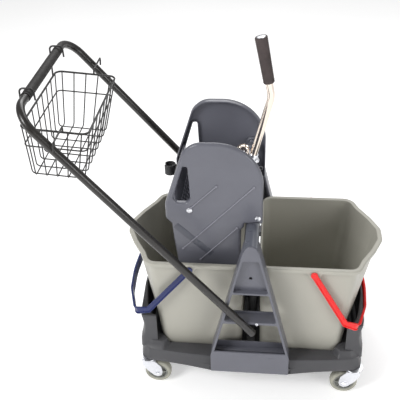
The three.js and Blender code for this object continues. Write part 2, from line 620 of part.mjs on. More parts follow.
function basketRim() {
  const { topX, topY } = BASKET;
  const corners = [[-topX, -topY, 0], [topX, -topY, 0], [topX, topY, 0], [-topX, topY, 0]];
  const edges = corners.map((p, i) => rod(p, corners[(i + 1) % 4], RIM_WIRE_R, 8));
  const balls = corners.map((p) => {
    const ball = new THREE.SphereGeometry(RIM_WIRE_R * 1.06, 8, 6);
    ball.translate(...p);
    return solid(ball);
  });
  const barHooks = [-118, 118].map((y) => bentRod(
    [[-topX, y, 0], [-topX - 4, y, 78.5], [-topX + 27, y, 81], [-topX + 30, y, 54]], 8, 2.2, 8, 4,
  ));
  const sideHooks = [-1, 1].map((k) => bentRod(
    [[20, k * topY, 0], [20, k * topY, 14], [20, k * 224, 14], [20, k * 224, -6]], 5, 2.2, 8, 4,
  ));
  return join(edges, balls, barHooks, sideHooks);
}
basket.add(piece('basket_rim', basketRim(), BLACK_STEEL));

// One wall or the floor of the basket as crossing wires between four corners.
function grid(from, to, count, cross) {
  const lerp = (a, b, t) => a.map((v, i) => v + (b[i] - v) * t);
  const wires = Array.from({ length: count }, (_, i) => {
    const t = count === 1 ? 0.5 : i / (count - 1);
    return rod(lerp(from[0], from[1], t), lerp(to[0], to[1], t), WIRE_R, 6);
  });
  const ties = cross.map((t) => rod(lerp(from[0], to[0], t), lerp(from[1], to[1], t), WIRE_R + 0.25, 7));
  return join(wires, ties);
}
const topAt = -RIM_WIRE_R - 0.4;
const lowAt = -BASKET.depth + 2.4;
function wall(xs, ys) {
  const at = (x, y, z) => [taperedX(x, -z / BASKET.depth), taperedY(y, -z / BASKET.depth), z];
  const top = [at(xs[0], ys[0], topAt), at(xs[1], ys[1], topAt)];
  const low = [at(xs[0], ys[0], lowAt), at(xs[1], ys[1], lowAt)];
  return [top, low];
}
const { topX: BX, topY: BY } = BASKET;
const longReach = BX - 8;
const crossReach = BY - 10;
for (const [name, k] of [['near', -1], ['far', 1]]) {
  const [top, low] = wall([-longReach, longReach], [k * BY, k * BY]);
  basket.add(piece(`basket_${name}_wires`, grid(top, low, LONG_WIRES, [HOOP_T, 0.94]), BLACK_STEEL));
}
for (const [name, k] of [['left', -1], ['right', 1]]) {
  const [top, low] = wall([k * BX, k * BX], [-crossReach, crossReach]);
  basket.add(piece(`basket_${name}_wires`, grid(top, low, CROSS_WIRES, [HOOP_T, 0.94]), BLACK_STEEL));
}
function basketFloor() {
  const z = -BASKET.depth - WIRE_R;
  const longs = spread(LONG_WIRES, taperedX(longReach, 1)).map((x) => (
    rod([x, -BASKET.lowY, z], [x, BASKET.lowY, z], WIRE_R, 6)
  ));
  const crosses = spread(CROSS_WIRES, taperedY(crossReach, 1)).map((y) => (
    rod([-BASKET.lowX, y, z], [BASKET.lowX, y, z], WIRE_R + 0.25, 7)
  ));
  return join(longs, crosses);
}
basket.add(piece('basket_floor_wires', basketFloor(), BLACK_STEEL));
trolley.add(basket);

export default trolley;
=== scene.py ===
"""Visual model of a double-bucket mop trolley with a press wringer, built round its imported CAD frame.

Lengths are written in millimetres about the trolley's pedestal (X = 0 between the buckets) and turned
into the frame's metres by at().
"""
import math

import bmesh
import bpy
import numpy as np
from mathutils import Matrix, Vector
from mathutils.geometry import tessellate_polygon


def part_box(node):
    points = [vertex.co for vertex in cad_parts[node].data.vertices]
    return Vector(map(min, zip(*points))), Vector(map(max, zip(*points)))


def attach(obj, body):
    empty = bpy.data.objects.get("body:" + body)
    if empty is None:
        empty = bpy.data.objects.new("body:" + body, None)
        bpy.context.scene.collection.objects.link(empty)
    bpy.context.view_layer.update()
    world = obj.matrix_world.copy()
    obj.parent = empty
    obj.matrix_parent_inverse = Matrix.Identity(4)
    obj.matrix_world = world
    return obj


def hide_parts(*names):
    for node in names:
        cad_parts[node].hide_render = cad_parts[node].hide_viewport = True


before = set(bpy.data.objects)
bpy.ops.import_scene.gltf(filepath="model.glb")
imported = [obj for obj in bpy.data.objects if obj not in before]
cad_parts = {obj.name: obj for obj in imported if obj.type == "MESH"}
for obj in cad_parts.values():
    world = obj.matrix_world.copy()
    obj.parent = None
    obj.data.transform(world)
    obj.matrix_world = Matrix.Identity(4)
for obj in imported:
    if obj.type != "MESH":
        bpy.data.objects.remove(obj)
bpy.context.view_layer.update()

bar_low, bar_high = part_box("arched_crossbar")
ORIGIN_X = 500 * (bar_low[0] + bar_high[0])    # millimetres from the frame's origin to the pedestal


def at(points):
    """Millimetres about the pedestal to metres in the frame."""
    p = np.asarray(points, dtype=float)
    return (p + np.array([ORIGIN_X, 0, 0])) / 1000


# ---------------------------------------------------------------- outlines
def fillet(corners, radii, steps=6, closed=True):
    """A polyline through corners with each one rounded to its radius; radii is one number or a list."""
    pts = [np.asarray(c, dtype=float) for c in corners]
    n = len(pts)
    if np.isscalar(radii):
        radii = [radii] * n
    out = []
    for i, p in enumerate(pts):
        if not closed and i in (0, n - 1):
            out.append(p)
            continue
        a, b = pts[i - 1] - p, pts[(i + 1) % n] - p
        la, lb = np.linalg.norm(a), np.linalg.norm(b)
        a, b = a / la, b / lb
        half = math.acos(max(-1.0, min(1.0, float(a @ b)))) / 2
        if radii[i] <= 0:
            out.append(p)
            continue
        cut = min(radii[i] / math.tan(half), 0.49 * la, 0.49 * lb)
        if half > math.radians(89.0):
            cut = min(max(cut, 0.15 * radii[i]), 0.49 * la, 0.49 * lb)
            out.extend(p + a * cut + (b - a) * cut * k / steps for k in range(steps + 1))
            continue
        r = cut * math.tan(half)
        centre = p + (a + b) / np.linalg.norm(a + b) * (r / math.sin(half))
        u, v = p + a * cut - centre, p + b * cut - centre
        sweep = math.pi - 2 * half
        for k in range(steps + 1):
            t = k / steps
            blend = math.sin((1 - t) * sweep) * u + math.sin(t * sweep) * v
            out.append(centre + blend / math.sin(sweep))
    return np.array(out)


def area(ring):
    x, y = ring[:, 0], ring[:, 1]
    return 0.5 * float(np.sum(x * np.roll(y, -1) - np.roll(x, -1) * y))


def ccw(ring):
    ring = np.asarray(ring, dtype=float)
    return ring if area(ring) > 0 else ring[::-1]


def inset(ring, d):
    """The anticlockwise outline moved inwards by d, point by point."""
    e = np.roll(ring, -1, axis=0) - ring
    e /= np.maximum(np.linalg.norm(e, axis=1), 1e-9)[:, None]
    n = np.stack([-e[:, 1], e[:, 0]], axis=1)
    m = n + np.roll(n, 1, axis=0)
    m /= np.maximum(np.linalg.norm(m, axis=1), 1e-9)[:, None]
    c = np.maximum(np.sum(m * n, axis=1), 0.45)
    return ring + m * (d / c)[:, None]


def circle(cx, cy, r, n=24):
    t = np.arange(n) * 2 * math.pi / n
    return np.stack([cx + r * np.cos(t), cy + r * np.sin(t)], axis=1)


def arc(cx, cy, r, a0, a1, n):
    t = np.radians(np.linspace(a0, a1, n))
    return np.stack([cx + r * np.cos(t), cy + r * np.sin(t)], axis=1)


def level(ring, z):
    """A flat outline raised to height z."""
    return np.column_stack([ring, np.full(len(ring), z)])


def standing(ring, y):
    """An (x, z) outline placed at y."""
    return np.column_stack([ring[:, 0], np.full(len(ring), y), ring[:, 1]])


def unit(v):
    v = np.asarray(v, dtype=float)
    return v / np.linalg.norm(v)


def round_edge(r, steps=4):
    """(inset, depth) steps round an edge from the face down to the side."""
    return [(r * (1 - math.sin(t)), r * (1 - math.cos(t))) for t in np.linspace(0, math.pi / 2, steps + 1)]


def mirror_profile(half):
    """A (radius, height) profile followed by its mirror image in height."""
    return half + [(r, -h) for r, h in half[::-1]]


# ---------------------------------------------------------------- mesh building
class Shape:
    """Collects closed shells in millimetres and turns them into one object."""

    def __init__(self):
        self.verts = []
        self.faces = []
        self.count = 0

    def add(self, verts, faces):
        verts = np.asarray(verts, dtype=float)
        self.verts.append(verts)
        self.faces.extend([tuple(self.count + i for i in f) for f in faces])
        self.count += len(verts)
        return self

    def loft(self, rings, closed=True, wrap=False):
        """Quads between rings of equal length, with flat caps unless the rings wrap round."""
        n = len(rings[0])
        verts = np.concatenate([np.asarray(r, dtype=float) for r in rings])
        faces = []
        span = n if closed else n - 1
        pairs = len(rings) if wrap else len(rings) - 1
        for i in range(pairs):
            a, b = i * n, ((i + 1) % len(rings)) * n
            for k in range(span):
                k2 = (k + 1) % n
                faces.append((a + k, a + k2, b + k2, b + k))
        if not wrap:
            faces.append(tuple(range(n))[::-1])
            faces.append(tuple((len(rings) - 1) * n + k for k in range(n)))
        return self.add(verts, faces)

    def panel(self, outline, holes, place, edge, hole_edge=None):
        """A flat piece with holes. edge lists (inset, depth) from the front cap to the back cap, place maps
        (u, v, depth) to 3D, and hole_edge is the same list for the holes."""
        hole_edge = hole_edge or edge
        loops = [(ccw(outline), edge, 1)] + [(ccw(h), hole_edge, -1) for h in holes]
        verts, faces, front, back = [], [], [], []
        for ring, steps, sign in loops:
            base = len(verts)
            n = len(ring)
            for d, z in steps:
                for u, v in inset(ring, sign * d):
                    verts.append(place(u, v, z))
            for i in range(len(steps) - 1):
                for k in range(n):
                    k2 = (k + 1) % n
                    here, below = base + i * n, base + (i + 1) * n
                    q = (here + k, below + k, below + k2, here + k2)
                    faces.append(q if sign > 0 else q[::-1])
            front.append((base, inset(ring, sign * steps[0][0])))
            back.append((base + (len(steps) - 1) * n, inset(ring, sign * steps[-1][0])))
        for cap, flip in ((front, False), (back, True)):
            index = [b + k for b, r in cap for k in range(len(r))]
            polys = [[Vector((u, v, 0)) for u, v in r] for _, r in cap]
            for tri in tessellate_polygon(polys):
                t = tuple(index[k] for k in tri)
                a, b, c = (np.array(sum(polys, [])[k][:2]) for k in tri)
                positive = (b - a)[0] * (c - a)[1] - (b - a)[1] * (c - a)[0] > 0
                faces.append(t if positive != flip else t[::-1])
        return self.add(verts, faces)

    def sweep(self, path, section, up=(0, 0, 1), closed=False, scale=None):
        """A closed section carried along a path; up is the section's second axis at the start."""
        path = np.asarray(path, dtype=float)
        section = ccw(section)
        n = len(path)
        if closed:
            tangent = np.roll(path, -1, axis=0) - np.roll(path, 1, axis=0)
        else:
            tangent = np.gradient(path, axis=0)
        tangent /= np.linalg.norm(tangent, axis=1)[:, None]
        v = np.asarray(up, dtype=float)
        rings = []
        for i in range(n):
            v = unit(v - tangent[i] * (v @ tangent[i]))
            u = np.cross(v, tangent[i])
            k = 1 if scale is None else scale[i]
            rings.append(path[i] + k * (section[:, :1] * u + section[:, 1:] * v))
        return self.loft(rings, wrap=closed)

    def tube(self, path, r, sides=16, closed=False):
        path = np.asarray(path, dtype=float)
        t = path[1] - path[0]
        up = (0, 0, 1) if abs(t[2]) < 0.9 * np.linalg.norm(t) else (0, 1, 0)
        return self.sweep(path, circle(0, 0, r, sides), up=up, closed=closed)

    def turn(self, profile, origin, axis, sides=32, start=0.0):
        """A closed (radius, height) profile turned round an axis."""
        axis = unit(axis)
        side = np.array([0, 0, 1.0]) if abs(axis[2]) < 0.9 else np.array([1.0, 0, 0])
        u = unit(np.cross(side, axis))
        w = np.cross(axis, u)
        rings = []
        for k in range(sides):
            t = start + 2 * math.pi * k / sides
            radial = math.cos(t) * u + math.sin(t) * w
            rings.append([np.asarray(origin) + radial * r + axis * h for r, h in profile])
        return self.loft(rings, closed=all(r > 0 for r, _ in profile), wrap=True)

    def box(self, lo, hi, bevel=1.0, steps=2, matrix=None):
        """A box with rounded edges."""
        bm = bmesh.new()
        bmesh.ops.create_cube(bm, size=1)
        size = np.subtract(hi, lo)
        centre = np.add(hi, lo) / 2
        for vert in bm.verts:
            vert.co = Vector(centre + np.array(vert.co) * size)
        bmesh.ops.bevel(bm, geom=bm.edges[:], offset=bevel, segments=steps, profile=0.5,
                        affect="EDGES")
        if matrix is not None:
            bm.transform(matrix)
        bm.verts.index_update()
        verts = [tuple(v.co) for v in bm.verts]
        faces = [tuple(v.index for v in f.verts) for f in bm.faces]
        bm.free()
        return self.add(verts, faces)

    def mirrored(self, axis):
        """This shape's mirror image in X (0) or Y (1), as a new Shape."""
        other = Shape()
        verts = np.concatenate(self.verts)
        verts[:, axis] *= -1
        other.add(verts, [f[::-1] for f in self.faces])
        return other

    def include(self, other):
        return self.add(np.concatenate(other.verts), other.faces)

    def moved(self, matrix):
        other = Shape()
        verts = np.concatenate(self.verts)
        m = np.array(matrix)
        other.add(verts @ m[:3, :3].T + m[:3, 3], self.faces)
        return other

    def make(self, name, material, body, replaces=(), slot=None, sharp=38):
        mesh = bpy.data.meshes.new(name)
        mesh.from_pydata([tuple(v) for v in at(np.concatenate(self.verts))], [], self.faces)
        mesh.materials.append(material)
        bm = bmesh.new()
        bm.from_mesh(mesh)
        bmesh.ops.remove_doubles(bm, verts=bm.verts[:], dist=2e-6)
        bmesh.ops.recalc_face_normals(bm, faces=bm.faces[:])
        bm.to_mesh(mesh)
        bm.free()
        mesh.polygons.foreach_set("use_smooth", [True] * len(mesh.polygons))
        mesh.set_sharp_from_angle(angle=math.radians(sharp))
        obj = bpy.data.objects.new(name, mesh)
        bpy.context.scene.collection.objects.link(obj)
        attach(obj, body)
        if replaces:
            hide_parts(*replaces)
        return obj


# ---------------------------------------------------------------- materials
class Nodes:
    """Small helper for building one material's node tree."""

    def __init__(self, name):
        self.material = bpy.data.materials.new(name)
        self.material.use_nodes = True
        self.tree = self.material.node_tree
        self.shader = self.tree.nodes["Principled BSDF"]
        self.coord = self.tree.nodes.new("ShaderNodeTexCoord").outputs["Object"]

    def new(self, kind, **inputs):
        node = self.tree.nodes.new(kind)
        for key, value in inputs.items():
            self.put(node, key.replace("_", " "), value)
        return node

    def put(self, node, key, value):
        if isinstance(value, bpy.types.NodeSocket):
            self.tree.links.new(value, node.inputs[key])
        else:
            node.inputs[key].default_value = value

    def noise(self, scale, detail=3.0, roughness=0.55, stretch=None):
        vector = self.coord
        if stretch:
            mapping = self.new("ShaderNodeMapping", Vector=self.coord, Scale=stretch)
            vector = mapping.outputs["Vector"]
        return self.new("ShaderNodeTexNoise", Vector=vector, Scale=scale, Detail=detail,
                        Roughness=roughness).outputs["Fac"]

    def ramp(self, fac, stops):
        node = self.tree.nodes.new("ShaderNodeValToRGB")
        self.tree.links.new(fac, node.inputs["Fac"])
        elements = node.color_ramp.elements
        while len(elements) < len(stops):
            elements.new(0.5)
        for element, (place, colour) in zip(elements, stops):
            element.position = place
            element.color = (*colour, 1)
        return node.outputs["Color"]

    def spread(self, fac, low, high, from_low=0.3, from_high=0.7):
        node = self.new("ShaderNodeMapRange", Value=fac, From_Min=from_low, From_Max=from_high,
                        To_Min=low, To_Max=high)
        return node.outputs["Result"]

    def bump(self, height, strength, distance, normal=None):
        node = self.new("ShaderNodeBump", Height=height, Strength=strength, Distance=distance)
        if normal is not None:
            self.put(node, "Normal", normal)
        return node.outputs["Normal"]

    def set(self, **values):
        for key, value in values.items():
            self.put(self.shader, key.replace("_", " "), value)
        return self


def linear(r, g, b):
    """sRGB 0-255 to linear."""
    return tuple(c / 255 / 12.92 if c <= 10 else ((c / 255 + 0.055) / 1.055) ** 2.4
                 for c in (r, g, b))


def shade(colour, k):
    return tuple(min(1.0, c * k) for c in colour)


def plastic(name, colour, rough, vary, grain_depth=0.00004, clouds=9, scuffs=0.0, coat=0.0):
    """Moulded plastic: cloudy colour, a fine spark-eroded grain and uneven gloss."""
    m = Nodes(name)
    cloud = m.noise(clouds, 4)
    fine = m.noise(900, 2, 0.6)
    dark, light = shade(colour, 1 - vary), shade(colour, 1 + vary)
    m.set(Base_Color=m.ramp(cloud, [(0.3, dark), (0.5, colour), (0.72, light)]))
    m.set(Roughness=m.spread(m.noise(38, 5, 0.65), rough - 0.07, rough + 0.09))
    normal = m.bump(fine, 0.35, grain_depth)
    if scuffs:
        streak = m.noise(70, 3, 0.6, stretch=(0.25, 1.0, 1.6))
        normal = m.bump(m.spread(streak, 0, 1, 0.56, 0.62), scuffs, 0.00006, normal)
    m.set(Normal=normal)
    m.shader.inputs["IOR"].default_value = 1.48
    m.shader.inputs["Coat Weight"].default_value = coat
    m.shader.inputs["Coat Roughness"].default_value = 0.18
    return m.material


def metal(name, colour, rough, vary, clouds=30, spots=0.0):
    m = Nodes(name)
    cloud = m.noise(clouds, 5, 0.6)
    dark, light = shade(colour, 1 - vary), shade(colour, 1 + vary / 2)
    m.set(Base_Color=m.ramp(cloud, [(0.3, dark), (0.7, light)]))
    m.set(Roughness=m.spread(m.noise(120, 4, 0.6), rough - 0.05, rough + 0.07))
    if spots:
        m.set(Normal=m.bump(m.noise(260, 3, 0.5), spots, 0.00006))
    m.shader.inputs["Metallic"].default_value = 1.0
    return m.material


def powder_coat(name, colour, rough):
    m = Nodes(name)
    m.set(Base_Color=m.ramp(m.noise(16, 5), [(0.32, shade(colour, 0.78)), (0.7, shade(colour, 1.3))]))
    m.set(Roughness=m.spread(m.noise(90, 4), rough - 0.06, rough + 0.1))
    m.set(Normal=m.bump(m.noise(1300, 2, 0.5), 0.3, 0.00005))
    m.shader.inputs["Coat Weight"].default_value = 0.25
    m.shader.inputs["Coat Roughness"].default_value = 0.25
    return m.material


def rubber(name, colour, rough, grain=700):
    m = Nodes(name)
    m.set(Base_Color=m.ramp(m.noise(40, 4), [(0.3, shade(colour, 0.8)), (0.7, shade(colour, 1.25))]))
    m.set(Roughness=m.spread(m.noise(150, 3), rough - 0.08, rough + 0.1))
    m.set(Normal=m.bump(m.noise(grain, 3, 0.6), 0.4, 0.00008))
    return m.material


BUCKET_GREY = plastic("bucket_plastic", linear(172, 170, 160), rough=0.42, vary=0.035, clouds=6, scuffs=0.05)
CHASSIS_GREY = plastic("chassis_plastic", linear(70, 70, 73), rough=0.46, vary=0.09, scuffs=0.12)
WRINGER_GREY = plastic("wringer_plastic", linear(98, 99, 108), rough=0.36, vary=0.06, scuffs=0.08, coat=0.25)
# Painted shade: the diagonal band is darker than the panel to stand in for the shade of a shallow recess.
BAND_SHADE_GREY = plastic("wringer_plastic_painted_shade", linear(84, 86, 95), rough=0.3, vary=0.05)
# Painted highlight: the ribs get a lighter plastic so their raised tops read as lit ridges.
RIB_HIGHLIGHT_GREY = plastic("wringer_plastic_painted_highlight", linear(128, 128, 138), rough=0.3, vary=0.05, coat=0.3)
BAR_GREY = plastic("bar_plastic", linear(98, 101, 111), rough=0.3, vary=0.05, coat=0.35)
RED = plastic("bail_red_plastic", linear(232, 3, 2), rough=0.33, vary=0.05, coat=0.25, grain_depth=0.00002)
BLUE = plastic("bail_blue_plastic", linear(6, 28, 92), rough=0.33, vary=0.12, coat=0.3, grain_depth=0.00002)
CLIP_BLACK = plastic("clip_plastic", linear(40, 40, 42), rough=0.45, vary=0.12)
HUB_GREY = plastic("hub_plastic", linear(132, 133, 128), rough=0.5, vary=0.06)
TUBE_BLACK = powder_coat("tube_powder_coat", linear(30, 27, 25), 0.3)
WIRE_BLACK = powder_coat("wire_powder_coat", linear(26, 24, 24), 0.38)
SLEEVE_BLACK = rubber("sleeve_rubber", linear(40, 38, 37), 0.62)
GRIP_BROWN = rubber("grip_rubber", linear(66, 56, 55), 0.6)
TYRE_GREY = rubber("tyre_rubber", linear(158, 157, 145), 0.66, 900)
ZINC = metal("zinc_plate", (0.8, 0.81, 0.85), 0.3, vary=0.05, spots=0.05)
CHROME = metal("chrome_plate", (0.86, 0.76, 0.67), 0.1, vary=0.03, clouds=12)

# ---------------------------------------------------------------- buckets
FLOOR_Z, RIM_Z = 105.0, 392.0
WALL = 3.0
INNER_X, BUCKET_Y = 22.6, 143.0
PIVOT_X, PIVOT_Z = 148.0, 379.0
PLAN_RADII = [18, 22, 60, 50, 26]


def bucket_ring(t, d, z, end=None):
    """The bucket's plan at height fraction t (0 floor, 1 rim), moved out by d, but by end at X = INNER_X."""
    low = [(INNER_X + 3.5, 132), (222, 132), (231, 97), (239, 62), (247, 24)]
    high = [(INNER_X, BUCKET_Y), (246, BUCKET_Y), (260, 108), (287, 62), (305.5, 20)]
    half = [tuple(a + (b - a) * t for a, b in zip(p, q)) for p, q in zip(low, high)]
    corners = np.array([(x, -y) for x, y in half] + half[::-1])
    n = len(corners)
    out = d if end is None else end
    moved = []
    for i in range(n):
        p, a, b = corners[i], corners[i - 1], corners[(i + 1) % n]
        dist_a = out if i == 0 else d
        dist_b = out if i == n - 1 else d
        ua, ub = unit(p - a), unit(b - p)
        normals = np.array([[ua[1], -ua[0]], [ub[1], -ub[0]]])
        moved.append(p + np.linalg.solve(normals, np.array([dist_a, dist_b])))
    radii = [max(3.0, r + d) for r in PLAN_RADII]
    return level(fillet(moved, radii + radii[::-1], steps=7), z)


def bucket():
    """The right bucket: outside from the floor up, round the flanged rim, then down inside."""
    s = Shape()
    up = lambda z: (z - FLOOR_Z) / (RIM_Z - FLOOR_Z)
    rings = []
    for d, z in [(-9, 105.6), (-4, 105.3), (-1.5, 105.6), (0.6, 107), (2.2, 109.6), (3, 113.5)]:
        rings.append(bucket_ring(up(z), d, z))
    for z in np.linspace(150, 379, 7):
        rings.append(bucket_ring(up(z), WALL, z))
    flange = [
        (3.3, 3.2, 384.5), (4.4, 3.4, 386.2), (6.5, 3.7, 386.8), (9.2, 3.9, 386.6),
        (10.2, 4.1, 385.6), (10.5, 4.2, 381.6), (11, 4.4, 380.8), (11.7, 4.8, 381.2),
        (12, 5, 382.4), (12, 5, 388.4), (11.5, 4.7, 390.4), (10.2, 4.2, 391.6), (8.4, 3.4, 392),
        (3.2, 1.6, 392), (1.4, 0.9, 391.6), (0.4, 0.3, 390.6), (0, 0, 389),
    ]
    for d, end, z in flange:
        rings.append(bucket_ring(1 if z > 384 else up(z), d, z, end))
    for z in np.linspace(370, 122, 7):
        rings.append(bucket_ring(up(z), 0, z))
    for d, z in [(-1, 114.5), (-3.2, 110.6), (-7, 108.5), (-12, 108)]:
        rings.append(bucket_ring(up(z), d, z))
    s.loft(rings)
    for side in (-1, 1):
        # tapered lug behind the bail's pivot
        y0, y1 = side * (BUCKET_Y + 1), side * (BUCKET_Y + 11)
        root = fillet([(PIVOT_X - 20, 385), (PIVOT_X + 21, 385), (PIVOT_X + 13, 366),
                       (PIVOT_X - 8, 360)], 3, 3)
        face = fillet([(PIVOT_X - 17, 385), (PIVOT_X + 18, 385), (PIVOT_X + 11, 369),
                       (PIVOT_X - 6, 365)], 3, 3)
        s.loft([standing(root, y0), standing(root, y1 - side * 2.5), standing(face, y1)])
    return s


for side_name, shell in (("right", bucket()), ("left", bucket().mirrored(0))):
    shell.make(f"{side_name}_bucket_shell", BUCKET_GREY, f"{side_name}_bucket",
               [f"{side_name}_bucket"], "bucket_grey", sharp=30)

# ---------------------------------------------------------------- bails
BAIL_Y = 158.5
BAIL_ARM = 170.0
BAIL_BEND = 42.0                     # degrees between the arms and the grip
ARM_STEPS = 9
BEND_WIDTH = 8.6                     # half width of the band at the bend
RED_DROOP, BLUE_DROOP = 60.6, 51.0   # degrees below level


def bail(droop):
    """A bail on the right bucket: flat arms drooping by an angle, then a grip band bent up from them."""
    a, g = math.radians(-droop), math.radians(-droop + BAIL_BEND)
    arm, arm_side = np.array([[math.cos(a), 0, math.sin(a)], [-math.sin(a), 0, math.cos(a)]])
    grip, grip_side = np.array([[math.cos(g), 0, math.sin(g)], [-math.sin(g), 0, math.cos(g)]])
    pivot = np.array([PIVOT_X, 0, PIVOT_Z])
    bend = pivot + arm * BAIL_ARM
    s = Shape()
    plan = fillet([(0, -BAIL_Y), (34, -158), (56, -80), (62, 0), (56, 80), (34, 158), (0, BAIL_Y)],
                  [0, 12, 80, 400, 80, 12, 0], 8, closed=False)
    near_y = np.array([0, -BAIL_Y, 0])
    # each station is a point, the band's width direction and its half width
    arm_stations = []
    for k in range(ARM_STEPS):
        q = k / ARM_STEPS
        arm_stations.append((pivot + arm * BAIL_ARM * q + near_y, arm_side, 7.0 + 0.6 * q))
    arm_stations.append((bend + near_y, unit(arm_side + grip_side), BEND_WIDTH))
    stations = list(arm_stations)
    for x, y in plan[1:-1]:
        width = BEND_WIDTH + 2.9 * min(1.0, max(0.0, x / 40))
        stations.append((bend + grip * x + np.array([0, y, 0]), grip_side, width))
    stations += [(p * np.array([1, -1, 1]), side, w) for p, side, w in arm_stations[::-1]]
    tangent = np.gradient(np.array([p for p, _, _ in stations]), axis=0)
    rings = []
    for (p, side, w), t in zip(stations, tangent):
        t = unit(t)
        side = unit(side - t * (side @ t))
        out = np.cross(side, t)            # away from the bucket
        # a shallow channel: a web with a bead along each edge, open towards the bucket
        section = [
            (-w, 2.4), (-w + 0.8, 2.9), (w - 0.8, 2.9), (w, 2.4), (w, -1.9), (w - 0.7, -2.4),
            (w - 2.0, -2.4), (w - 2.6, -1.9), (w - 2.9, 0.0), (-w + 2.9, 0.0), (-w + 2.6, -1.9),
            (-w + 2.0, -2.4), (-w + 0.7, -2.4), (-w, -1.9),
        ]
        rings.append([p + side * u + out * v for u, v in section])
    s.loft(rings)
    for k in (-1, 1):
        eye = pivot + np.array([0, k * BAIL_Y, 0])
        s.turn([(0, -2.6), (7.6, -2.6), (8.2, -2.0), (8.2, 2.0), (7.6, 2.6), (0, 2.6)], eye,
               (0, 1, 0), 28)
        s.turn([(0, -8), (4, -8), (4, 0), (0, 0)], eye, (0, k, 0), 20)
    return s


bail(RED_DROOP).make("red_bail_band", RED, "red_bail", ["red_bail"], "bail_red", sharp=32)
bail(BLUE_DROOP).mirrored(0).make("blue_bail_band", BLUE, "blue_bail", ["blue_bail"], "bail_blue",
                                  sharp=32)

# ---------------------------------------------------------------- chassis
SKIRT_Z, LEDGE_Z, DECK_Z = 85.0, 121.0, 104.0
FOOT_X = 98.0
FOOT_BACK_Y = 156.5


def four_way(quadrant):
    """A closed outline from its +X +Y quarter, starting at the quarter's end nearest X = 0."""
    q = np.array(quadrant, dtype=float)
    return np.concatenate([q * (1, -1), (q * (1, 1))[::-1], q * (-1, 1), (q * (-1, -1))[::-1]])


def polar_ring(outline, angles):
    """Where rays from the centre meet a star-shaped outline."""
    out = []
    p, q = outline, np.roll(outline, -1, axis=0)
    for t in angles:
        d = np.array([math.cos(t), math.sin(t)])
        e = q - p
        det = d[0] * -e[:, 1] - d[1] * -e[:, 0]
        with np.errstate(divide="ignore", invalid="ignore"):
            s = (p[:, 0] * -e[:, 1] - p[:, 1] * -e[:, 0]) / det
            u = (d[0] * p[:, 1] - d[1] * p[:, 0]) / det
        good = (s > 0) & (u >= -1e-7) & (u <= 1 + 1e-7) & (np.abs(det) > 1e-9)
        out.append(d * s[good].max())
    return np.array(out)


def chassis():
    """The tray: a skirt and ledge round a sunken deck, a middle rib, and a seat and wall at each end."""
    s = Shape()
    edge = FOOT_X - 2.5
    radii = [0, 0, 20, 40, 40, 14, 14, 8]
    quarters = {
        "low": ([(edge, FOOT_BACK_Y), (edge, 199), (129, 192.5), (167, 185.5), (218, 178.5),
                 (264, 173.5), (281, 160), (285, 138)], radii),
        "top": ([(edge, FOOT_BACK_Y), (edge, 184), (129, 182), (167, 179), (218, 174), (258, 168),
                 (274, 156), (281, 138)], radii),
        "well": ([(60, 140), (212, 140), (227, 124), (270, 120)], [0, 8, 8, 8]),
    }
    plans = {k: four_way(fillet(q, r, 5, closed=False)) for k, (q, r) in quarters.items()}
    marks = [np.arctan2(plan[:, 1], plan[:, 0]) for plan in plans.values()]
    marks.append(np.linspace(-math.pi, math.pi, 180, endpoint=False))
    angles = np.unique(np.round(np.concatenate(marks), 5))
    angles = angles[np.concatenate([[True], np.diff(angles) > 0.0015])]
    rings_2d = {k: polar_ring(plan, angles) for k, plan in plans.items()}

    def mix(a, b, t):
        return rings_2d[a] * (1 - t) + rings_2d[b] * t

    def shrink(name, d):
        r = rings_2d[name]
        return r * (1 - d / np.linalg.norm(r, axis=1))[:, None]

    def stack(name, steps):
        return [level(shrink(name, d), z) for d, z in steps]

    rings = stack("low", [(5, 99.0), (4, 87.0), (2.6, SKIRT_Z), (0.8, SKIRT_Z), (0, 86.2)])
    rings += [level(mix("low", "top", t), 86.2 + t * 31) for t in (0.35, 0.7, 0.95)]
    rings += stack("top", [(0.2, 118.6), (1.2, 120.2), (3, LEDGE_Z)])
    rings.append(level(mix("top", "well", 0.55), LEDGE_Z - 0.6))
    rings += stack("well", [(-2.2, LEDGE_Z), (-0.6, LEDGE_Z - 0.7), (0, LEDGE_Z - 2.2),
                            (1.2, DECK_Z + 3), (2.2, DECK_Z + 0.9), (4, DECK_Z)])
    s.loft(rings)
    # middle rib between the buckets
    s.box((-11, -141, DECK_Z - 2), (11, 141, LEDGE_Z + 9), 2.5)
    end = Shape()
    for side in (-1, 1):
        end.loft(corner_seat(side))
    end.include(end_wall())
    for half in (end.mirrored(0), end):
        s.include(half)
    return s


def corner_seat(side):
    """Rings of the raised seat at one corner of the +X end, on the given side in Y."""
    radii = [4, 6, 8, 6, 10, 12, 10, 6]
    foot = fillet([(206, 144), (223, 127), (247, 118), (274, 118), (281, 138), (274, 157), (256, 167),
                   (222, 172)], radii, 5)
    crown = fillet([(214, 146), (227, 130), (249, 122), (270, 122), (275, 138), (268, 150),
                    (252, 156), (226, 158)], radii, 5)
    steps = [(0, 116), (0, 120.6), (0.35, 124), (0.75, 131), (0.95, 136.5), (1.12, 137.8), (1.5, 138)]
    rings = [level((foot * (1 - t) + crown * t) * (1, side), z) for t, z in steps]
    return rings if side > 0 else [r[::-1] for r in rings]


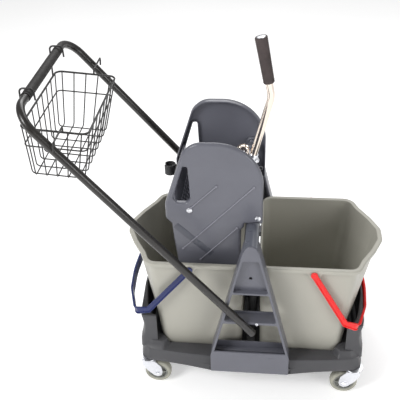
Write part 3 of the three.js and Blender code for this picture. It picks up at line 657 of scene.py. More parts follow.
def end_wall():
    """The thick wall at the +X end that holds a bucket, pinched at its waist and flared at its top."""
    inner_half = [(239, 146), (252, 140), (262, 124), (268, 98), (280, 26)]
    outer_half = [(239, 152), (276, 151), (280.5, 128), (282, 98), (286, 26)]
    inner_radii, outer_radii = [0, 5, 30, 60, 16], [0, 9, 60, 80, 30]
    inner, outer = (
        fillet([(x, -y) for x, y in half] + half[::-1], radii + radii[::-1], 6, closed=False)
        for half, radii in ((inner_half, inner_radii), (outer_half, outer_radii))
    )
    middle = (inner + outer) / 2

    def ring(z, grow, shrink):
        out = outer + (outer - middle) * (grow / 10)
        a = out + (middle - out) * shrink
        b = inner + (middle - inner) * shrink
        return level(np.concatenate([a, b[::-1]]), z)

    # height, flare and how far the two faces close up
    rows = [(112, 5, 0), (138, 4, 0), (146, 0.5, 0), (158, -2.4, 0), (176, -3.6, 0), (194, -2.6, 0),
            (208, -0.6, 0), (215, 0.4, 0), (218.4, 0.4, 0.08), (219.6, 0.2, 0.24), (220, 0, 0.45)]
    return Shape().loft([ring(*row) for row in rows])


chassis().make("chassis_moulding", CHASSIS_GREY, "trolley", ["chassis_tray"], "chassis_grey", sharp=34)

# ---------------------------------------------------------------- uprights and crossbar
UP_BACK, UP_FRONT = 157.0, 200.0
ARCH_R, BAR_TOP = 16.0, 489.0
FOOT_TOP = 156.0
FOOT_LOW = 125.0
LEG_TOP = 476.0
SLOPE = (FOOT_X - 3 - 18) / (LEG_TOP - FOOT_TOP)


def leg_x(z, side=0.0):
    """Half width of the upright at height z, less side."""
    return 17.2 + (LEG_TOP - z) * SLOPE - side


def trapezium(z0, z1, side, r):
    low, high = leg_x(z0, side), leg_x(z1, side)
    return fillet([(-low, z0), (low, z0), (high, z1), (-high, z1)], r, 4)


def upright():
    """The near upright, front face towards -Y."""
    s = Shape()
    arch = arc(0, BAR_TOP - ARCH_R, ARCH_R - 0.9, 12, 168, 14)
    leg = fillet([(0, FOOT_LOW), (FOOT_X - 1.6, FOOT_LOW), (leg_x(FOOT_TOP), FOOT_TOP),
                  (leg_x(470), 470)], [0, 0, 12, 0], 5, closed=False)[1:]
    outline = np.concatenate([leg, arch, leg[::-1] * (-1, 1)])
    front = lambda u, v, d: (u, -UP_FRONT + d, v)
    depth = UP_FRONT - UP_BACK
    r = 1.4
    edge = round_edge(r, 3) + [(0, depth - r)] + [(a, depth - b) for a, b in round_edge(r, 3)[::-1]]
    bays = [(351, 446, 3, 7), (259, 345.5, 5, 3), (FOOT_LOW + 6, 251.5, 3, 5)]
    holes = [trapezium(z0, z1, 6.2, [r0, r0, r1, r1]) for z0, z1, r0, r1 in bays]
    s.panel(outline, holes, front, edge)
    # recessed web in the upper bay
    web = trapezium(348, 449, 4.4, 5)
    inner = lambda u, v, d: (u, -UP_FRONT + 14 + d, v)
    s.panel(web, [circle(0, 386, 4, 20)], inner, [(0, 0), (0, 3)],
            round_edge(0.8, 2) + [(0, 2.2), (0.6, 3)])
    # lip at the back of the second shelf, and of the foot well
    for width, y0, y1, z0, z1, bevel in (
        (leg_x(262, 7), 8, 4.5, 250, 263, 0.9),
        (leg_x(160, 7), 5, 1.5, FOOT_LOW, FOOT_TOP + 1, 0.9),
    ):
        s.box((-width, -UP_BACK - y0, z0), (width, -UP_BACK - y1, z1), bevel)
    # floor of the foot well
    width = leg_x(150, 9)
    s.box((-width, -UP_BACK - 20, FOOT_LOW + 4), (width, -UP_BACK - 4, FOOT_LOW + 15), 1.6, 3)
    # skirt of the foot
    foot = fillet([(-FOOT_X, SKIRT_Z), (FOOT_X, SKIRT_Z), (FOOT_X, FOOT_TOP - 16),
                   (FOOT_X - 4, FOOT_TOP), (-FOOT_X + 4, FOOT_TOP), (-FOOT_X, FOOT_TOP - 16)],
                  [2, 2, 14, 5, 5, 14], 5)
    plate = round_edge(1.8, 4) + [(0, 3.4), (0.6, 4)]
    s.panel(foot, [], lambda u, v, d: (u, -UP_FRONT - 0.7 + d, v), plate)
    for k in (-1, 1):
        x0, x1 = sorted((k * (FOOT_X - 0.2), k * (FOOT_X - 4.2)))
        s.box((x0, -UP_FRONT + 1, SKIRT_Z + 0.4), (x1, -UP_BACK - 0.4, FOOT_TOP - 18), 0.9)
    # short raised bar moulded on the foot's face
    s.box((46, -UP_FRONT - 1.1, 140), (63, -UP_FRONT + 1, 141.4), 0.25)
    return s


for side_name, frame_shape in (("near", upright()), ("far", upright().mirrored(1))):
    frame_shape.make(f"{side_name}_upright_frame", WRINGER_GREY, "trolley", [f"{side_name}_upright"],
                     "wringer_grey", sharp=34)


def arch_line(r):
    """The arch's inverted U at radius r, from its +X foot to its -X foot."""
    foot = [(r, 456.6), (r, 460)]
    arch = arc(0, BAR_TOP - ARCH_R, r, 0, 180, 25)
    return np.concatenate([foot, arch, [(-x, z) for x, z in foot[::-1]]])


def crossbar():
    """The arched channel over the uprights."""
    section = np.concatenate([arch_line(ARCH_R), arch_line(ARCH_R - 3)[::-1]])
    ys = (-UP_FRONT + 3.4, -UP_FRONT + 4, UP_FRONT - 4, UP_FRONT - 3.4)
    return Shape().loft([standing(section, y) for y in ys])


crossbar().make("crossbar_moulding", BAR_GREY, "trolley", ["arched_crossbar"], "wringer_grey", sharp=34)


def screw_head(centre, axis):
    """A pan head with a round recess for the driver."""
    r, h, recess = 4.5, 2.8, 2.6
    profile = [(0, 0.6), (recess * 0.35, 0.9), (recess * 0.5, h * 0.93), (r * 0.55, h * 0.9),
               (r * 0.85, h * 0.62), (r, h * 0.2), (r, 0), (0, 0)]
    return Shape().turn(profile, centre, axis, 24)


for name, k in (("near", -1), ("far", 1)):
    screw = screw_head((16, k * (UP_FRONT + 0.2), 254.5), (0, k, 0))
    screw.make(f"{name}_handle_screw_head", ZINC, "trolley", [f"{name}_handle_screw"], "zinc")

# ---------------------------------------------------------------- push handle
HANDLE_Y, HANDLE_R = 208.0, 9.5
HANDLE_TOP = (-485.0, 812.0)
HANDLE_END = (8.0, 231.0)
RIB_PITCH = 3.75


def push_handle():
    """The U-shaped tube, with plugged, slightly chamfered ends."""
    corners = [(x, k * HANDLE_Y, z) for k, (x, z) in ((-1, HANDLE_END), (-1, HANDLE_TOP),
                                                      (1, HANDLE_TOP), (1, HANDLE_END))]
    path = fillet(corners, [0, 55, 55, 0], 14, closed=False)
    first, last = unit(path[1] - path[0]), unit(path[-2] - path[-1])
    points = np.concatenate([[path[0], path[0] + first * 0.8], path[1:-1],
                             [path[-1] + last * 0.8, path[-1]]])
    scale = np.ones(len(points))
    scale[0] = scale[-1] = 0.93
    return Shape().sweep(points, circle(0, 0, HANDLE_R, 28), up=(0, 1, 0), scale=scale)


push_handle().make("push_handle_bar", TUBE_BLACK, "trolley", ["push_handle_tube"], "black_steel", sharp=40)


def handle_sleeve():
    """A foam-rubber sleeve with shallow ribs and a rounded collar at each end."""
    profile = [(HANDLE_R + 0.3, -129.6), (11.0, -129.9), (11.4, -129.2), (11.4, -124.5), (10.9, -124)]
    collar = list(profile)
    h = -123.0
    while h < 122.5:
        profile += [(10.9, h), (11.35, h + 0.8), (11.35, h + 2.2), (10.9, h + 3.0)]
        h += RIB_PITCH
    profile += [(r, -h) for r, h in collar[::-1]]
    return Shape().turn(profile, (HANDLE_TOP[0], 0, HANDLE_TOP[1]), (0, 1, 0), 36)


handle_sleeve().make("push_handle_grip", SLEEVE_BLACK, "trolley", ["push_handle_sleeve"],
                     "black_rubber", sharp=50)

# ---------------------------------------------------------------- casters
CASTER_X, CASTER_Y, TRAIL = 266.0, 158.0, 24.0
AXLE_Z, AXLE_R = 34.78, 3.5


def caster_fork(cx, cy, sx):
    """The crown under the swivel ring and two pressed cheeks that taper down to the axle."""
    s = Shape()
    s.turn([(0, 73.2), (13, 73.2), (16.2, 74.2), (18.4, 76.2), (19, 78.4), (19, 79.8), (18.4, 80.7),
            (0, 80.9)], (cx, cy, 0), (0, 0, 1), 48)
    side = [(-15.5, 78), (-15, 67), (-4, 46), (13.5, 27.5), (24, 23.4), (34.5, 29), (37, 42),
            (34, 60), (19.5, 76.5)]
    hole = circle(TRAIL, AXLE_Z, 3.8, 20)
    # outline, distance out from the wheel's middle, edge and thickness
    layers = [
        (fillet(side, [4, 8, 30, 8, 10, 10, 12, 18, 4], 5), 16.0,
         [(0.9, 0), (0.25, 0.25), (0, 0.9), (0, 2.1), (0.4, 2.5)], 2.5),
        (circle(TRAIL, AXLE_Z, 9.4, 32), 16.9, [(1.2, 0), (0.3, 0.4), (0, 1.2)], 1.2),
    ]
    for k in (-1, 1):
        for outline, out, edge, thick in layers:
            place = lambda u, v, d: (cx - sx * u, cy + k * (out - d), v)
            s.panel(outline, [hole], place, edge, [(0, 0), (0, thick)])
    x0, x1 = sorted((cx + sx * 15.2, cx - sx * 19.5))
    return s.box((x0, cy - 15.8, 74.8), (x1, cy + 15.8, 78.6), 1.6, 3)


def axle_bolt(axle):
    s = Shape().turn([(0, -17), (AXLE_R, -17), (AXLE_R, 17), (0, 17)], axle, (0, 1, 0), 20)
    head = [(0, 17.1), (6.2, 17.1), (6.5, 17.4), (6.5, 19.9), (5.9, 20.4), (0, 20.5)]
    for k in (-1, 1):
        s.turn(head, axle, (0, k, 0), 6, start=math.pi / 6)
    return s


def wheel_hub(axle):
    half = [(AXLE_R + 0.5, -12.4), (7.6, -12.4), (8, -12), (8, -6), (10, -4.4), (20, -4.4),
            (21.6, -6), (22.2, -9.6), (24.4, -9.9), (24.9, -9.4)]
    s = Shape().turn(mirror_profile(half), axle, (0, 1, 0), 48)
    for k in range(6):
        turn = Matrix.Translation(axle) @ Matrix.Rotation(math.radians(60 * k), 4, "Y")
        s.box((7, -8.4, -1.3), (22.4, 8.4, 1.3), 0.6, 2, turn)
    return s


def caster(name, sx, sy):
    """One caster, with its wheel trailing towards the trolley's middle."""
    cx, cy = sx * CASTER_X, sy * CASTER_Y
    axle = (cx - sx * TRAIL, cy, AXLE_Z)
    ring = Shape().turn([(8, 81.3), (20.5, 81.3), (21.6, 81.7), (22, 82.6), (22, 84.2), (21.6, 84.7),
                         (8, 84.7)], (cx, cy, 0), (0, 0, 1), 48)
    ring.make(f"{name}_swivel_plate", ZINC, "trolley", [f"{name}_caster_ring"], "zinc")
    swivel, wheel = f"{name}_caster", f"{name}_wheel"
    caster_fork(cx, cy, sx).make(f"{name}_fork_pressing", ZINC, swivel, [f"{name}_caster_fork"], "zinc",
                                 sharp=36)
    axle_bolt(axle).make(f"{name}_axle_fastener", ZINC, swivel, [f"{name}_axle_bolt"], "zinc",
                         sharp=30)
    wheel_hub(axle).make(f"{name}_hub_moulding", HUB_GREY, wheel, [f"{name}_wheel_hub"], "hub_grey",
                         sharp=34)
    tread = [(25.2, -9.8), (26.5, -10.7), (29.5, -11), (31.8, -10.2), (33.6, -8.4), (34.5, -6),
             (34.75, -3)]
    tyre = Shape().turn(mirror_profile(tread), axle, (0, 1, 0), 72)
    tyre.make(f"{name}_tyre_tread", TYRE_GREY, wheel, [f"{name}_tyre"], "tyre_grey", sharp=60)


for y_name, y_side in (("near", -1), ("far", 1)):
    for x_name, x_side in (("left", -1), ("right", 1)):
        caster(f"{y_name}_{x_name}", x_side, y_side)

# ---------------------------------------------------------------- wringer
SHAFT = (-11.0, 585.0)
SHAFT_R = 8.0
CHEEK_Y = 115.0
CHEEK_LOW = 350.5
RIVETS = {"front": (-146.6, 524.0), "rear": (12.0, 507.0)}
RIBS = [((-143, 531), (-83, 592)), ((-166, 412), (2, 592)), ((-124, 381), (-36, 478))]
BAND = ((-181, 480), (-97, 398))


def cheek_outline():
    """The cheek's side view: a notch over the crossbar, a domed top, and a narrower lower part."""
    arch = arc(-84, 594, 107, 3, 90, 26)
    lower = fillet([(-34, CHEEK_LOW), (-27, 358), (-27, 470), (-20, 479), (-20, 489.6), (23, 489.6),
                    (23, 530)], [4, 6, 10, 5, 2.5, 4, 0], 4, closed=False)
    upper = fillet([(-84, 701), (-132, 700.5), (-159, 677), (-204, 538), (-204, 498), (-190, 482),
                    (-187, 436), (-179, 364), (-163, CHEEK_LOW), (-34, CHEEK_LOW)],
                   [0, 60, 40, 26, 12, 10, 60, 30, 14, 0], 9, closed=False)
    return np.concatenate([lower, arch, upper[1:-1]])


def hand_hole():
    return fillet([(-184, 554), (-176, 543), (-152, 543), (-144.5, 554), (-147.6, 639),
                   (-158.4, 639)], [5, 9, 9, 5, 4.6, 4.6], 5)


def cheek(flange):
    """The near cheek: a panel with a rolled edge as deep as the flange, a hand hole and a shaft boss."""
    s = Shape()
    place = lambda u, v, d: (u, -CHEEK_Y + d, v)
    # face, rolled edge, skirt, then back up inside to the panel's inner face
    edge = round_edge(7.0, 7)
    edge += [(0, flange - 0.8), (0.5, flange - 0.1), (1.4, flange), (2.6, flange - 0.1)]
    edge += [(3.1, flange - 0.8), (3.1, 7.2), (3.8, 5.2), (5.4, 4.2), (7.4, 4)]
    hole_edge = [(4.6, 0), (3.4, 0.2), (1.6, 1.3), (0.4, 3.0), (0, 4.6), (0, 11.4), (0.5, 12),
                 (1.5, 12), (2.0, 11.4), (2.0, 4.0)]
    s.panel(cheek_outline(), [hand_hole()], place, edge, hole_edge)
    bore = SHAFT_R + 0.4
    s.turn([(bore, 3.6), (14, 3.6), (14, 11), (13, 12), (bore + 1, 12), (bore, 11)],
           (SHAFT[0], -CHEEK_Y, SHAFT[1]), (0, 1, 0), 36)
    return s


def along_face(start, end):
    """The length of a line on the near cheek's face, and the matrix that lays local X along it."""
    (x0, z0), (x1, z1) = start, end
    turn = Matrix.Rotation(-math.atan2(z1 - z0, x1 - x0), 4, "Y")
    return math.hypot(x1 - x0, z1 - z0), Matrix.Translation((x0, -CHEEK_Y, z0)) @ turn


def ribs():
    """Raised diagonal ribs on the near cheek's outer face, coloured lighter than the panel as a painted
    highlight.
    """
    s = Shape()
    for start, end in RIBS:
        length, m = along_face(start, end)
        s.box((0, -2.2, -1.5), (length, 0.8, 1.5), 1.2, 4, m)
        for q in (0, length):
            s.box((q - 3, -2.6, -2.6), (q + 3, 0.8, 2.6), 1.4, 3, m)
    return s


def band():
    """A smooth diagonal band on the near cheek's face, coloured darker as the painted shade of a shallow
    recess.
    """
    length, m = along_face(*BAND)
    return Shape().box((0, -0.4, -8.5), (length, 0.8, 8.5), 0.3, 2, m)


def rivet(x, z, k):
    """A domed rivet through a cheek, with its collar inside."""
    place, axis = (x, k * CHEEK_Y, z), (0, k, 0)
    s = Shape().turn([(0, -7), (4, -7), (4, 0.3), (6.4, 0.3), (7, 0.8), (6.7, 1.9), (5.2, 2.8),
                      (2.6, 3.2), (0, 3.3)], place, axis, 32)
    return s.turn([(0, -7.0), (5.6, -7.0), (6, -6.6), (6, -4.3), (0, -4.3)], place, axis, 32)


for side_name, shape in (("near", cheek(9)), ("far", cheek(22).mirrored(1))):
    shape.make(f"{side_name}_wringer_side", WRINGER_GREY, "wringer", [f"{side_name}_wringer_cheek"],
               "wringer_grey", sharp=36)
for kind, shape, material in (("ribs", ribs(), RIB_HIGHLIGHT_GREY), ("band", band(), BAND_SHADE_GREY)):
    shape.make(f"near_wringer_{kind}", material, "wringer", [], "wringer_grey")
    shape.mirrored(1).make(f"far_wringer_{kind}", material, "wringer", [], "wringer_grey")
for end, (rivet_x, rivet_z) in RIVETS.items():
    for side_name, k in (("near", -1), ("far", 1)):
        rivet(rivet_x, rivet_z, k).make(f"{side_name}_{end}_rivet_head", ZINC, "wringer",
                                        [f"{side_name}_{end}_rivet"], "zinc")

BED_R, BED_THICK = 194.0, 3.6


def press_bed():
    """The curved, perforated wall that the mop is pressed against."""
    s = Shape()
    half = CHEEK_Y - 4.4
    inner = np.concatenate([[(-43.5, 432), (-43.5, 402)], arc(*SHAFT, BED_R, 258, 214, 40),
                            [(-181, 572)]])
    lengths = np.concatenate([[0], np.cumsum(np.linalg.norm(np.diff(inner, axis=0), axis=1))])
    total = lengths[-1]

    def place(u, v):
        """u along Y and v along the wall from its lower end."""
        i = min(int(np.searchsorted(lengths, v, side="right")) - 1, len(inner) - 2)
        f = (v - lengths[i]) / (lengths[i + 1] - lengths[i])
        p = inner[i] * (1 - f) + inner[i + 1] * f
        return (p[0], u, p[1])

    # rows of square drain holes in a fine quad sheet, thickened
    step = 4.0
    nu, nv = int(2 * half / step), int(total / step)
    us, vs = np.linspace(-half, half, nu + 1), np.linspace(0, total, nv + 1)
    bm = bmesh.new()
    grid = [[bm.verts.new(place(u, v)) for v in vs] for u in us]
    for i in range(nu):
        for j in range(nv):
            hole = i % 4 in (1, 2) and j % 4 in (1, 2)
            if not (hole and 3 < j < nv - 16 and 3 < i < nu - 4):
                bm.faces.new((grid[i][j], grid[i + 1][j], grid[i + 1][j + 1], grid[i][j + 1]))
    bmesh.ops.recalc_face_normals(bm, faces=bm.faces[:])
    bm.normal_update()
    middle = bm.faces[len(bm.faces) // 2]
    toward = Vector((SHAFT[0], 0, SHAFT[1])) - middle.calc_center_median()
    if middle.normal.dot(toward) > 0:
        bmesh.ops.reverse_faces(bm, faces=bm.faces[:])
    bm.normal_update()
    front = [v for v in bm.verts if v.link_faces]
    index = {v: k for k, v in enumerate(front)}
    verts = [tuple(v.co) for v in front] + [tuple(v.co + v.normal * BED_THICK) for v in front]
    n = len(front)
    faces = []
    for f in bm.faces:
        ids = [index[v] for v in f.verts]
        faces.append(tuple(n + i for i in ids))
        faces.append(tuple(ids[::-1]))
    for e in bm.edges:
        if len(e.link_faces) == 1:
            a, b = index[e.verts[0]], index[e.verts[1]]
            faces.append((a, b, n + b, n + a))
    bm.free()
    s.add(verts, faces)
    # stiffening rail along the top
    top = inner[-1]
    s.box((top[0] - 4.4, -half, top[1] - 2), (top[0] + 1.2, half, top[1] + 3), 1.0, 3)
    return s


press_bed().make("press_bed_wall", WRINGER_GREY, "wringer", ["press_bed"], "wringer_grey", sharp=30)


def mop_clip():
    """A spring clip: an open ring on a short bracket."""
    s = Shape()
    cx, cz = -205.0, 566.0
    section = ccw(np.concatenate([arc(cx, 0, 14, 205, 515, 40), arc(cx, 0, 10.8, 515, 205, 40)]))
    steps = ((-13, 0.8), (-12.2, 0), (12.2, 0), (13, 0.8))
    s.loft([level(inset(section, d), cz + z) for z, d in steps])
    s.box((cx + 11.4, -8.5, cz - 10.5), (-185.6, 8.5, cz + 7.5), 1.6, 3)
    return s


mop_clip().make("mop_stick_clip", CLIP_BLACK, "wringer", ["mop_clip"], "clip_black", sharp=40)

PRESS_REST = 252.0
PRESS_R = 187.0


def about_shaft(angle=0.0):
    """Places a shape drawn with its radius along +X on the shaft, at an angle in the XZ plane."""
    return Matrix.Translation((SHAFT[0], 0, SHAFT[1])) @ Matrix.Rotation(-math.radians(angle), 4, "Y")


def press_plate():
    """The perforated plate on its two hubs, with stiffeners on the side away from the mop."""
    s = Shape()
    face = fillet([(26, -94.5), (PRESS_R, -94.5), (PRESS_R, 94.5), (26, 94.5)], [6, 4, 4, 6], 4)
    columns = (-80, -54, -38, -10, 10, 38, 54, 80)
    holes = [circle(x, y, 4.2, 14) for x in range(56, 176, 20) for y in columns]
    edge = [(1.0, 0), (0.3, 0.3), (0, 1.0), (0, 5.0), (0.3, 5.7), (1.0, 6)]
    hole_edge = [(0.5, 0), (0, 0.6), (0, 5.4), (0.5, 6)]
    flat = Shape().panel(face, holes, lambda u, v, d: (u, v, 3 - d), edge, hole_edge)
    for y in (-70, -24, 24, 70):
        flat.box((25.5, y - 2, 2), (168, y + 2, 13), 0.9, 2)
    flat.box((167, -94, 2), (172, 94, 9), 0.9, 2)
    for k in (-1, 1):
        flat.box((6, k * 70 - 8.6, -3), (36, k * 70 + 8.6, 3), 0.9, 2)
    s.include(flat.moved(about_shaft(PRESS_REST)))
    for k in (-1, 1):
        s.turn(mirror_profile([(SHAFT_R + 0.4, -8.8), (14, -8.8), (15, -8)]),
               (SHAFT[0], k * 70, SHAFT[1]), (0, 1, 0), 36)
    return s


press_plate().make("press_plate_moulding", WRINGER_GREY, "press", ["press_plate"], "wringer_grey", sharp=34)

shaft_shape = Shape().turn(mirror_profile([(0, -110.4), (7.2, -110.4), (SHAFT_R, -109.6)]),
                           (SHAFT[0], 0, SHAFT[1]), (0, 1, 0), 32)
shaft_shape.make("press_shaft", ZINC, "press", ["wringer_shaft"], "zinc")

LEAN = math.radians(14.4)
along = np.array([math.sin(LEAN), 0, math.cos(LEAN)])
shaft_at = np.array([SHAFT[0], 0, SHAFT[1]])
ELBOW = shaft_at + along * 182.8
TOP = ELBOW + np.array([-26.4, 0, 140.2])
DRUM_X, DRUM_Z = -18.1, 37.0         # from the shaft
drum_at = shaft_at + np.array([DRUM_X, 0, DRUM_Z])
grip_axis = unit(TOP - ELBOW)
LEVER_R = 8.75
GRIP_START, GRIP_LENGTH = 35.0, 107.0
GRIP_R, GRIP_FLARE = 13.4, 1.4       # radius at the lower end, and what it gains by the top
GRIP_SIDES, GRIP_TWISTS, GRIP_PITCH, GRIP_DEPTH = 100, 5, 9.0, 1.5


def lever_socket():
    """The casting that clamps the lever to the shaft, with an ear and a pin for the spring drum."""
    s = Shape()
    s.turn(mirror_profile([(SHAFT_R + 0.4, -16.6), (14.2, -16.6), (15, -15.8)]), shaft_at, (0, 1, 0),
           40)
    s.turn([(LEVER_R + 0.4, 12), (17, 12), (17.5, 12.6), (17.5, 15.8), (17, 16.6), (12.4, 17.2),
            (11.6, 18.4), (11.6, 28.8), (11, 29.8), (LEVER_R + 0.4, 29.8)], shaft_at, along, 40)
    for k in (-1, 1):
        centre = shaft_at + along * 16.4 + np.array([0, k * 14.2, 0])
        s.turn([(0, 0), (3.1, 0), (3.1, 2.6), (2.4, 3.4), (0, 3.6)], centre, along, 6)
    ear = np.concatenate([arc(0, 0, 12, -150, 20, 14), arc(DRUM_X, DRUM_Z, 9, 20, 210, 14)])
    s.panel(ear, [], lambda u, v, d: (SHAFT[0] + u, 9.6 + d, SHAFT[1] + v),
            round_edge(0.9, 2) + [(0, 3.4), (0.9, 4.3)])
    return s.turn([(0, -11), (4.2, -11), (5, -10.4), (5, 10), (0, 10)], drum_at, (0, 1, 0), 24)


lever_socket().make("lever_socket_casting", ZINC, "press", ["lever_socket"], "zinc", sharp=32)


def lever_tube():
    path = fillet([shaft_at + along * 17, ELBOW, TOP - grip_axis * 6], [0, 60, 0], 14, closed=False)
    straight = [path[0] + (path[1] - path[0]) * k / 6 for k in range(6)]
    return Shape().sweep(straight + list(path[1:]), circle(0, 0, LEVER_R, 32), up=(0, 1, 0))


lever_tube().make("lever_tube_chromed", CHROME, "press", ["lever_tube"], "chrome", sharp=40)


def lever_grip():
    """A grip with a raised diamond pattern, flaring towards its top, with its ends rounded off."""
    start = ELBOW + grip_axis * GRIP_START
    u = unit(np.cross((0, 1, 0), grip_axis))
    w = np.cross(grip_axis, u)
    angles = [2 * math.pi * k / GRIP_SIDES for k in range(GRIP_SIDES)]
    rings = [[start + (math.cos(t) * u + math.sin(t) * w) * (LEVER_R + 0.4) for t in angles]]
    steps = int(GRIP_LENGTH / 1.1)
    for i in range(steps + 1):
        h = GRIP_LENGTH * i / steps
        left = GRIP_LENGTH - h
        ease = min(1.0, h / 5, left / 5)
        ends = 1.2 * (1 - min(1.0, h / 2.5)) + 1.6 * (1 - min(1.0, left / 2.5))
        twist = 2 * math.pi * h / GRIP_PITCH
        ring = []
        for t in angles:
            a, b = math.cos(GRIP_TWISTS * t + twist), math.cos(GRIP_TWISTS * t - twist)
            groove = max(0.0, 1 - 1.6 * min(1 - abs(a), 1 - abs(b), 0.6))
            r = GRIP_R + GRIP_FLARE * h / GRIP_LENGTH - GRIP_DEPTH * ease * groove - ends
            ring.append(start + grip_axis * h + (math.cos(t) * u + math.sin(t) * w) * r)
        rings.append(ring)
    return Shape().loft(rings)


lever_grip().make("lever_grip_rubber", GRIP_BROWN, "press", ["lever_grip"], "black_rubber", sharp=70)

cap_base = ELBOW + grip_axis * 141.4
button = Shape().turn([(0, 0), (9.6, 0), (10, 0.5), (9.8, 1.7), (8.2, 2.5), (0, 2.8)], cap_base,
                      grip_axis, 36)
button.make("lever_end_button", ZINC, "press", ["lever_end_cap"], "zinc")


def spring():
    """The spring drum on the pin: a spool with a grooved front face and a coiled strip round it."""
    bore, coil_r, turns, points = 5.5, 12.6, 3, 28
    s = Shape().turn([(bore, -8.6), (7.4, -8.6), (8, -7.4), (10.2, -7.0), (11.2, -8.2), (13.6, -7.8),
                      (14.5, -6.6), (14.5, -4.6), (13.4, -4.0), (13.4, 3.0), (14.5, 3.6), (14.5, 6.6),
                      (13.8, 7.4), (bore, 7.4)], drum_at, (0, 1, 0), 48)
    coil = []
    for i in range(turns * points + 1):
        t = 2 * math.pi * i / points
        y = -3.0 + 5.0 * i / (turns * points)
        coil.append(drum_at + (coil_r * math.cos(t), y, coil_r * math.sin(t)))
    return s.tube(coil, 1.2, 8)


spring().make("return_spring_coil", CHROME, "press", ["return_spring"], "chrome", sharp=50)

# ---------------------------------------------------------------- basket
TILT = math.radians(4.8)
BASKET_X, BASKET_Z = -428.5, 742.5   # the middle of the rim
TOP_X, TOP_Y = 75.0, 150.0           # half sizes at the rim
LOW_X, LOW_Y = 61.0, 126.0           # half sizes at the floor
LOW_SHIFT, BASKET_DEPTH = -5.5, 133.0
RIM_R, HOOK_R, HOOP_R, WIRE_R = 2.5, 2.2, 1.7, 1.55
HOOP_DOWN = 0.36                     # how far down the taper the middle hoop is
LONG_WIRES, CROSS_WIRES = 5, 8
WIRE_CORNERS = [0, 9, 9, 0]


def basket_point(x, y, z):
    c, s = math.cos(TILT), math.sin(TILT)
    return np.array([BASKET_X + x * c + z * s, y, BASKET_Z - x * s + z * c])


def wire(s, corners, radii, r):
    s.tube(fillet([basket_point(*c) for c in corners], radii, 6, closed=False), r, 10)


def hoop(k, r, corner):
    """A closed ring of wire round the basket, k of the way down its taper."""
    x, y = TOP_X * (1 - k) + LOW_X * k, TOP_Y * (1 - k) + LOW_Y * k
    m, z = LOW_SHIFT * k, -k * BASKET_DEPTH
    corners = [(m - x, -y, z), (m + x, -y, z), (m + x, y, z), (m - x, y, z)]
    return Shape().tube(fillet([basket_point(*c) for c in corners], corner, 8), r, 12, closed=True)


rim = hoop(0, RIM_R, 16)
for y in (-118, 118):
    x = -TOP_X
    wire(rim, [(x, y, 0), (x - 4, y, 78.5), (x + 27, y, 81), (x + 30, y, 54)], WIRE_CORNERS, HOOK_R)
for k in (-1, 1):
    corners = [(20, k * TOP_Y, 0), (20, k * TOP_Y, 14), (20, k * 224, 14), (20, k * 224, -6)]
    wire(rim, corners, [0, 6, 6, 0], HOOK_R)

EDGE_GAP = 14.0                      # from the rim's corner to the first wire
lengthwise = Shape()
for x in np.linspace(EDGE_GAP - TOP_X, TOP_X - EDGE_GAP, LONG_WIRES):
    xl = x * LOW_X / TOP_X + LOW_SHIFT
    wire(lengthwise, [(x, -TOP_Y, -2.2), (xl, -LOW_Y, -BASKET_DEPTH), (xl, LOW_Y, -BASKET_DEPTH),
                      (x, TOP_Y, -2.2)], WIRE_CORNERS, WIRE_R)
crosswise = Shape()
low = -BASKET_DEPTH - 2.6
for y in np.linspace(EDGE_GAP - TOP_Y, TOP_Y - EDGE_GAP, CROSS_WIRES):
    yl = y * LOW_Y / TOP_Y
    wire(crosswise, [(-TOP_X, y, -2.2), (LOW_SHIFT - LOW_X, yl, low), (LOW_SHIFT + LOW_X, yl, low),
                     (TOP_X, y, -2.2)], WIRE_CORNERS, WIRE_R)

for name, shape, nodes in (
    ("rim_wire", rim, ["basket_rim"]),
    ("long_wires", lengthwise, ["basket_near_wires", "basket_far_wires"]),
    ("cross_wires", crosswise, ["basket_left_wires", "basket_right_wires", "basket_floor_wires"]),
    ("middle_hoop", hoop(HOOP_DOWN, HOOP_R, 12), []),
):
    shape.make(f"basket_{name}", WIRE_BLACK, "basket", nodes, "black_steel", sharp=50)

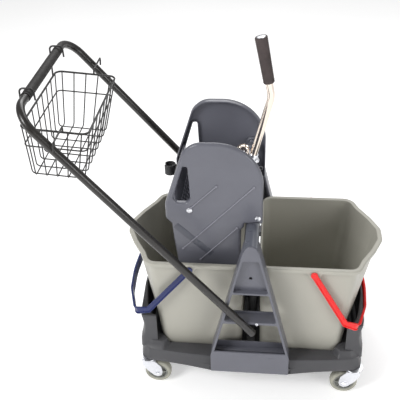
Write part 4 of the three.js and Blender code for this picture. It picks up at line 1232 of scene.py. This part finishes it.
# ---------------------------------------------------------------- stage, light and camera
FLOOR_HALF = 9.0                     # metres
floor_material = Nodes("studio_floor")
pale, paler = (0.9, 0.9, 0.9), (0.93, 0.93, 0.93)
floor_material.set(Base_Color=floor_material.ramp(floor_material.noise(1.4, 2), [(0.3, pale), (0.7, paler)]))
floor_material.set(Roughness=floor_material.spread(floor_material.noise(9, 3), 0.85, 0.95))
floor_material.shader.inputs["Emission Color"].default_value = (1, 1, 1, 1)
floor_material.shader.inputs["Emission Strength"].default_value = 0.35
floor_mesh = bpy.data.meshes.new("floor")
floor_corners = [(x * FLOOR_HALF, y * FLOOR_HALF, 0) for x, y in ((-1, -1), (1, -1), (1, 1), (-1, 1))]
floor_mesh.from_pydata(floor_corners, [], [(0, 1, 2, 3)])
floor_mesh.materials.append(floor_material.material)
floor = bpy.data.objects.new("floor", floor_mesh)
bpy.context.scene.collection.objects.link(floor)

world = bpy.data.worlds.new("studio")
bpy.context.scene.world = world
world.use_nodes = True
world.node_tree.nodes["Background"].inputs["Color"].default_value = (1, 1, 1, 1)
world.node_tree.nodes["Background"].inputs["Strength"].default_value = 0.4
bpy.context.scene.view_settings.view_transform = "Standard"


def softbox(name, place, aim, size, watts):
    data = bpy.data.lights.new(name, "AREA")
    data.shape = "RECTANGLE"
    data.size, data.size_y = size
    data.energy = watts
    obj = bpy.data.objects.new(name, data)
    obj.location = place
    obj.rotation_euler = (Vector(aim) - Vector(place)).to_track_quat("-Z", "Y").to_euler()
    bpy.context.scene.collection.objects.link(obj)


softbox("key", (-1.9, -1.8, 2.3), (0.05, 0, 0.35), (1.1, 1.1), 58)
softbox("fill", (2.2, -2.2, 1.2), (0.1, 0, 0.3), (1.4, 1.2), 26)
softbox("top", (0.2, 1.6, 2.6), (0.1, 0, 0.4), (2.4, 1.0), 40)

CAMERA_YAW, CAMERA_PITCH, CAMERA_ROLL = 0.121023, math.radians(34.0), -0.0344005
CAMERA_PLACE = (42.569, -1460.573, 1467.943)    # millimetres about the pedestal
CAMERA_LENS = 64.21
cam_data = bpy.data.cameras.new("camera")
cam_data.sensor_width = 36.0
cam_data.lens = CAMERA_LENS
cam = bpy.data.objects.new("camera", cam_data)
yaw, pitch, roll = CAMERA_YAW, CAMERA_PITCH, CAMERA_ROLL
forward = Vector((-math.sin(yaw) * math.cos(pitch), math.cos(yaw) * math.cos(pitch), -math.sin(pitch)))
level_right = Vector((math.cos(yaw), math.sin(yaw), 0))
level_up = level_right.cross(forward)
right = math.cos(roll) * level_right + math.sin(roll) * level_up
up = -math.sin(roll) * level_right + math.cos(roll) * level_up
turned = Matrix((right, up, -forward)).transposed().to_4x4()
cam.matrix_world = Matrix.Translation(Vector(at(CAMERA_PLACE))) @ turned
bpy.context.scene.collection.objects.link(cam)
bpy.context.scene.camera = cam
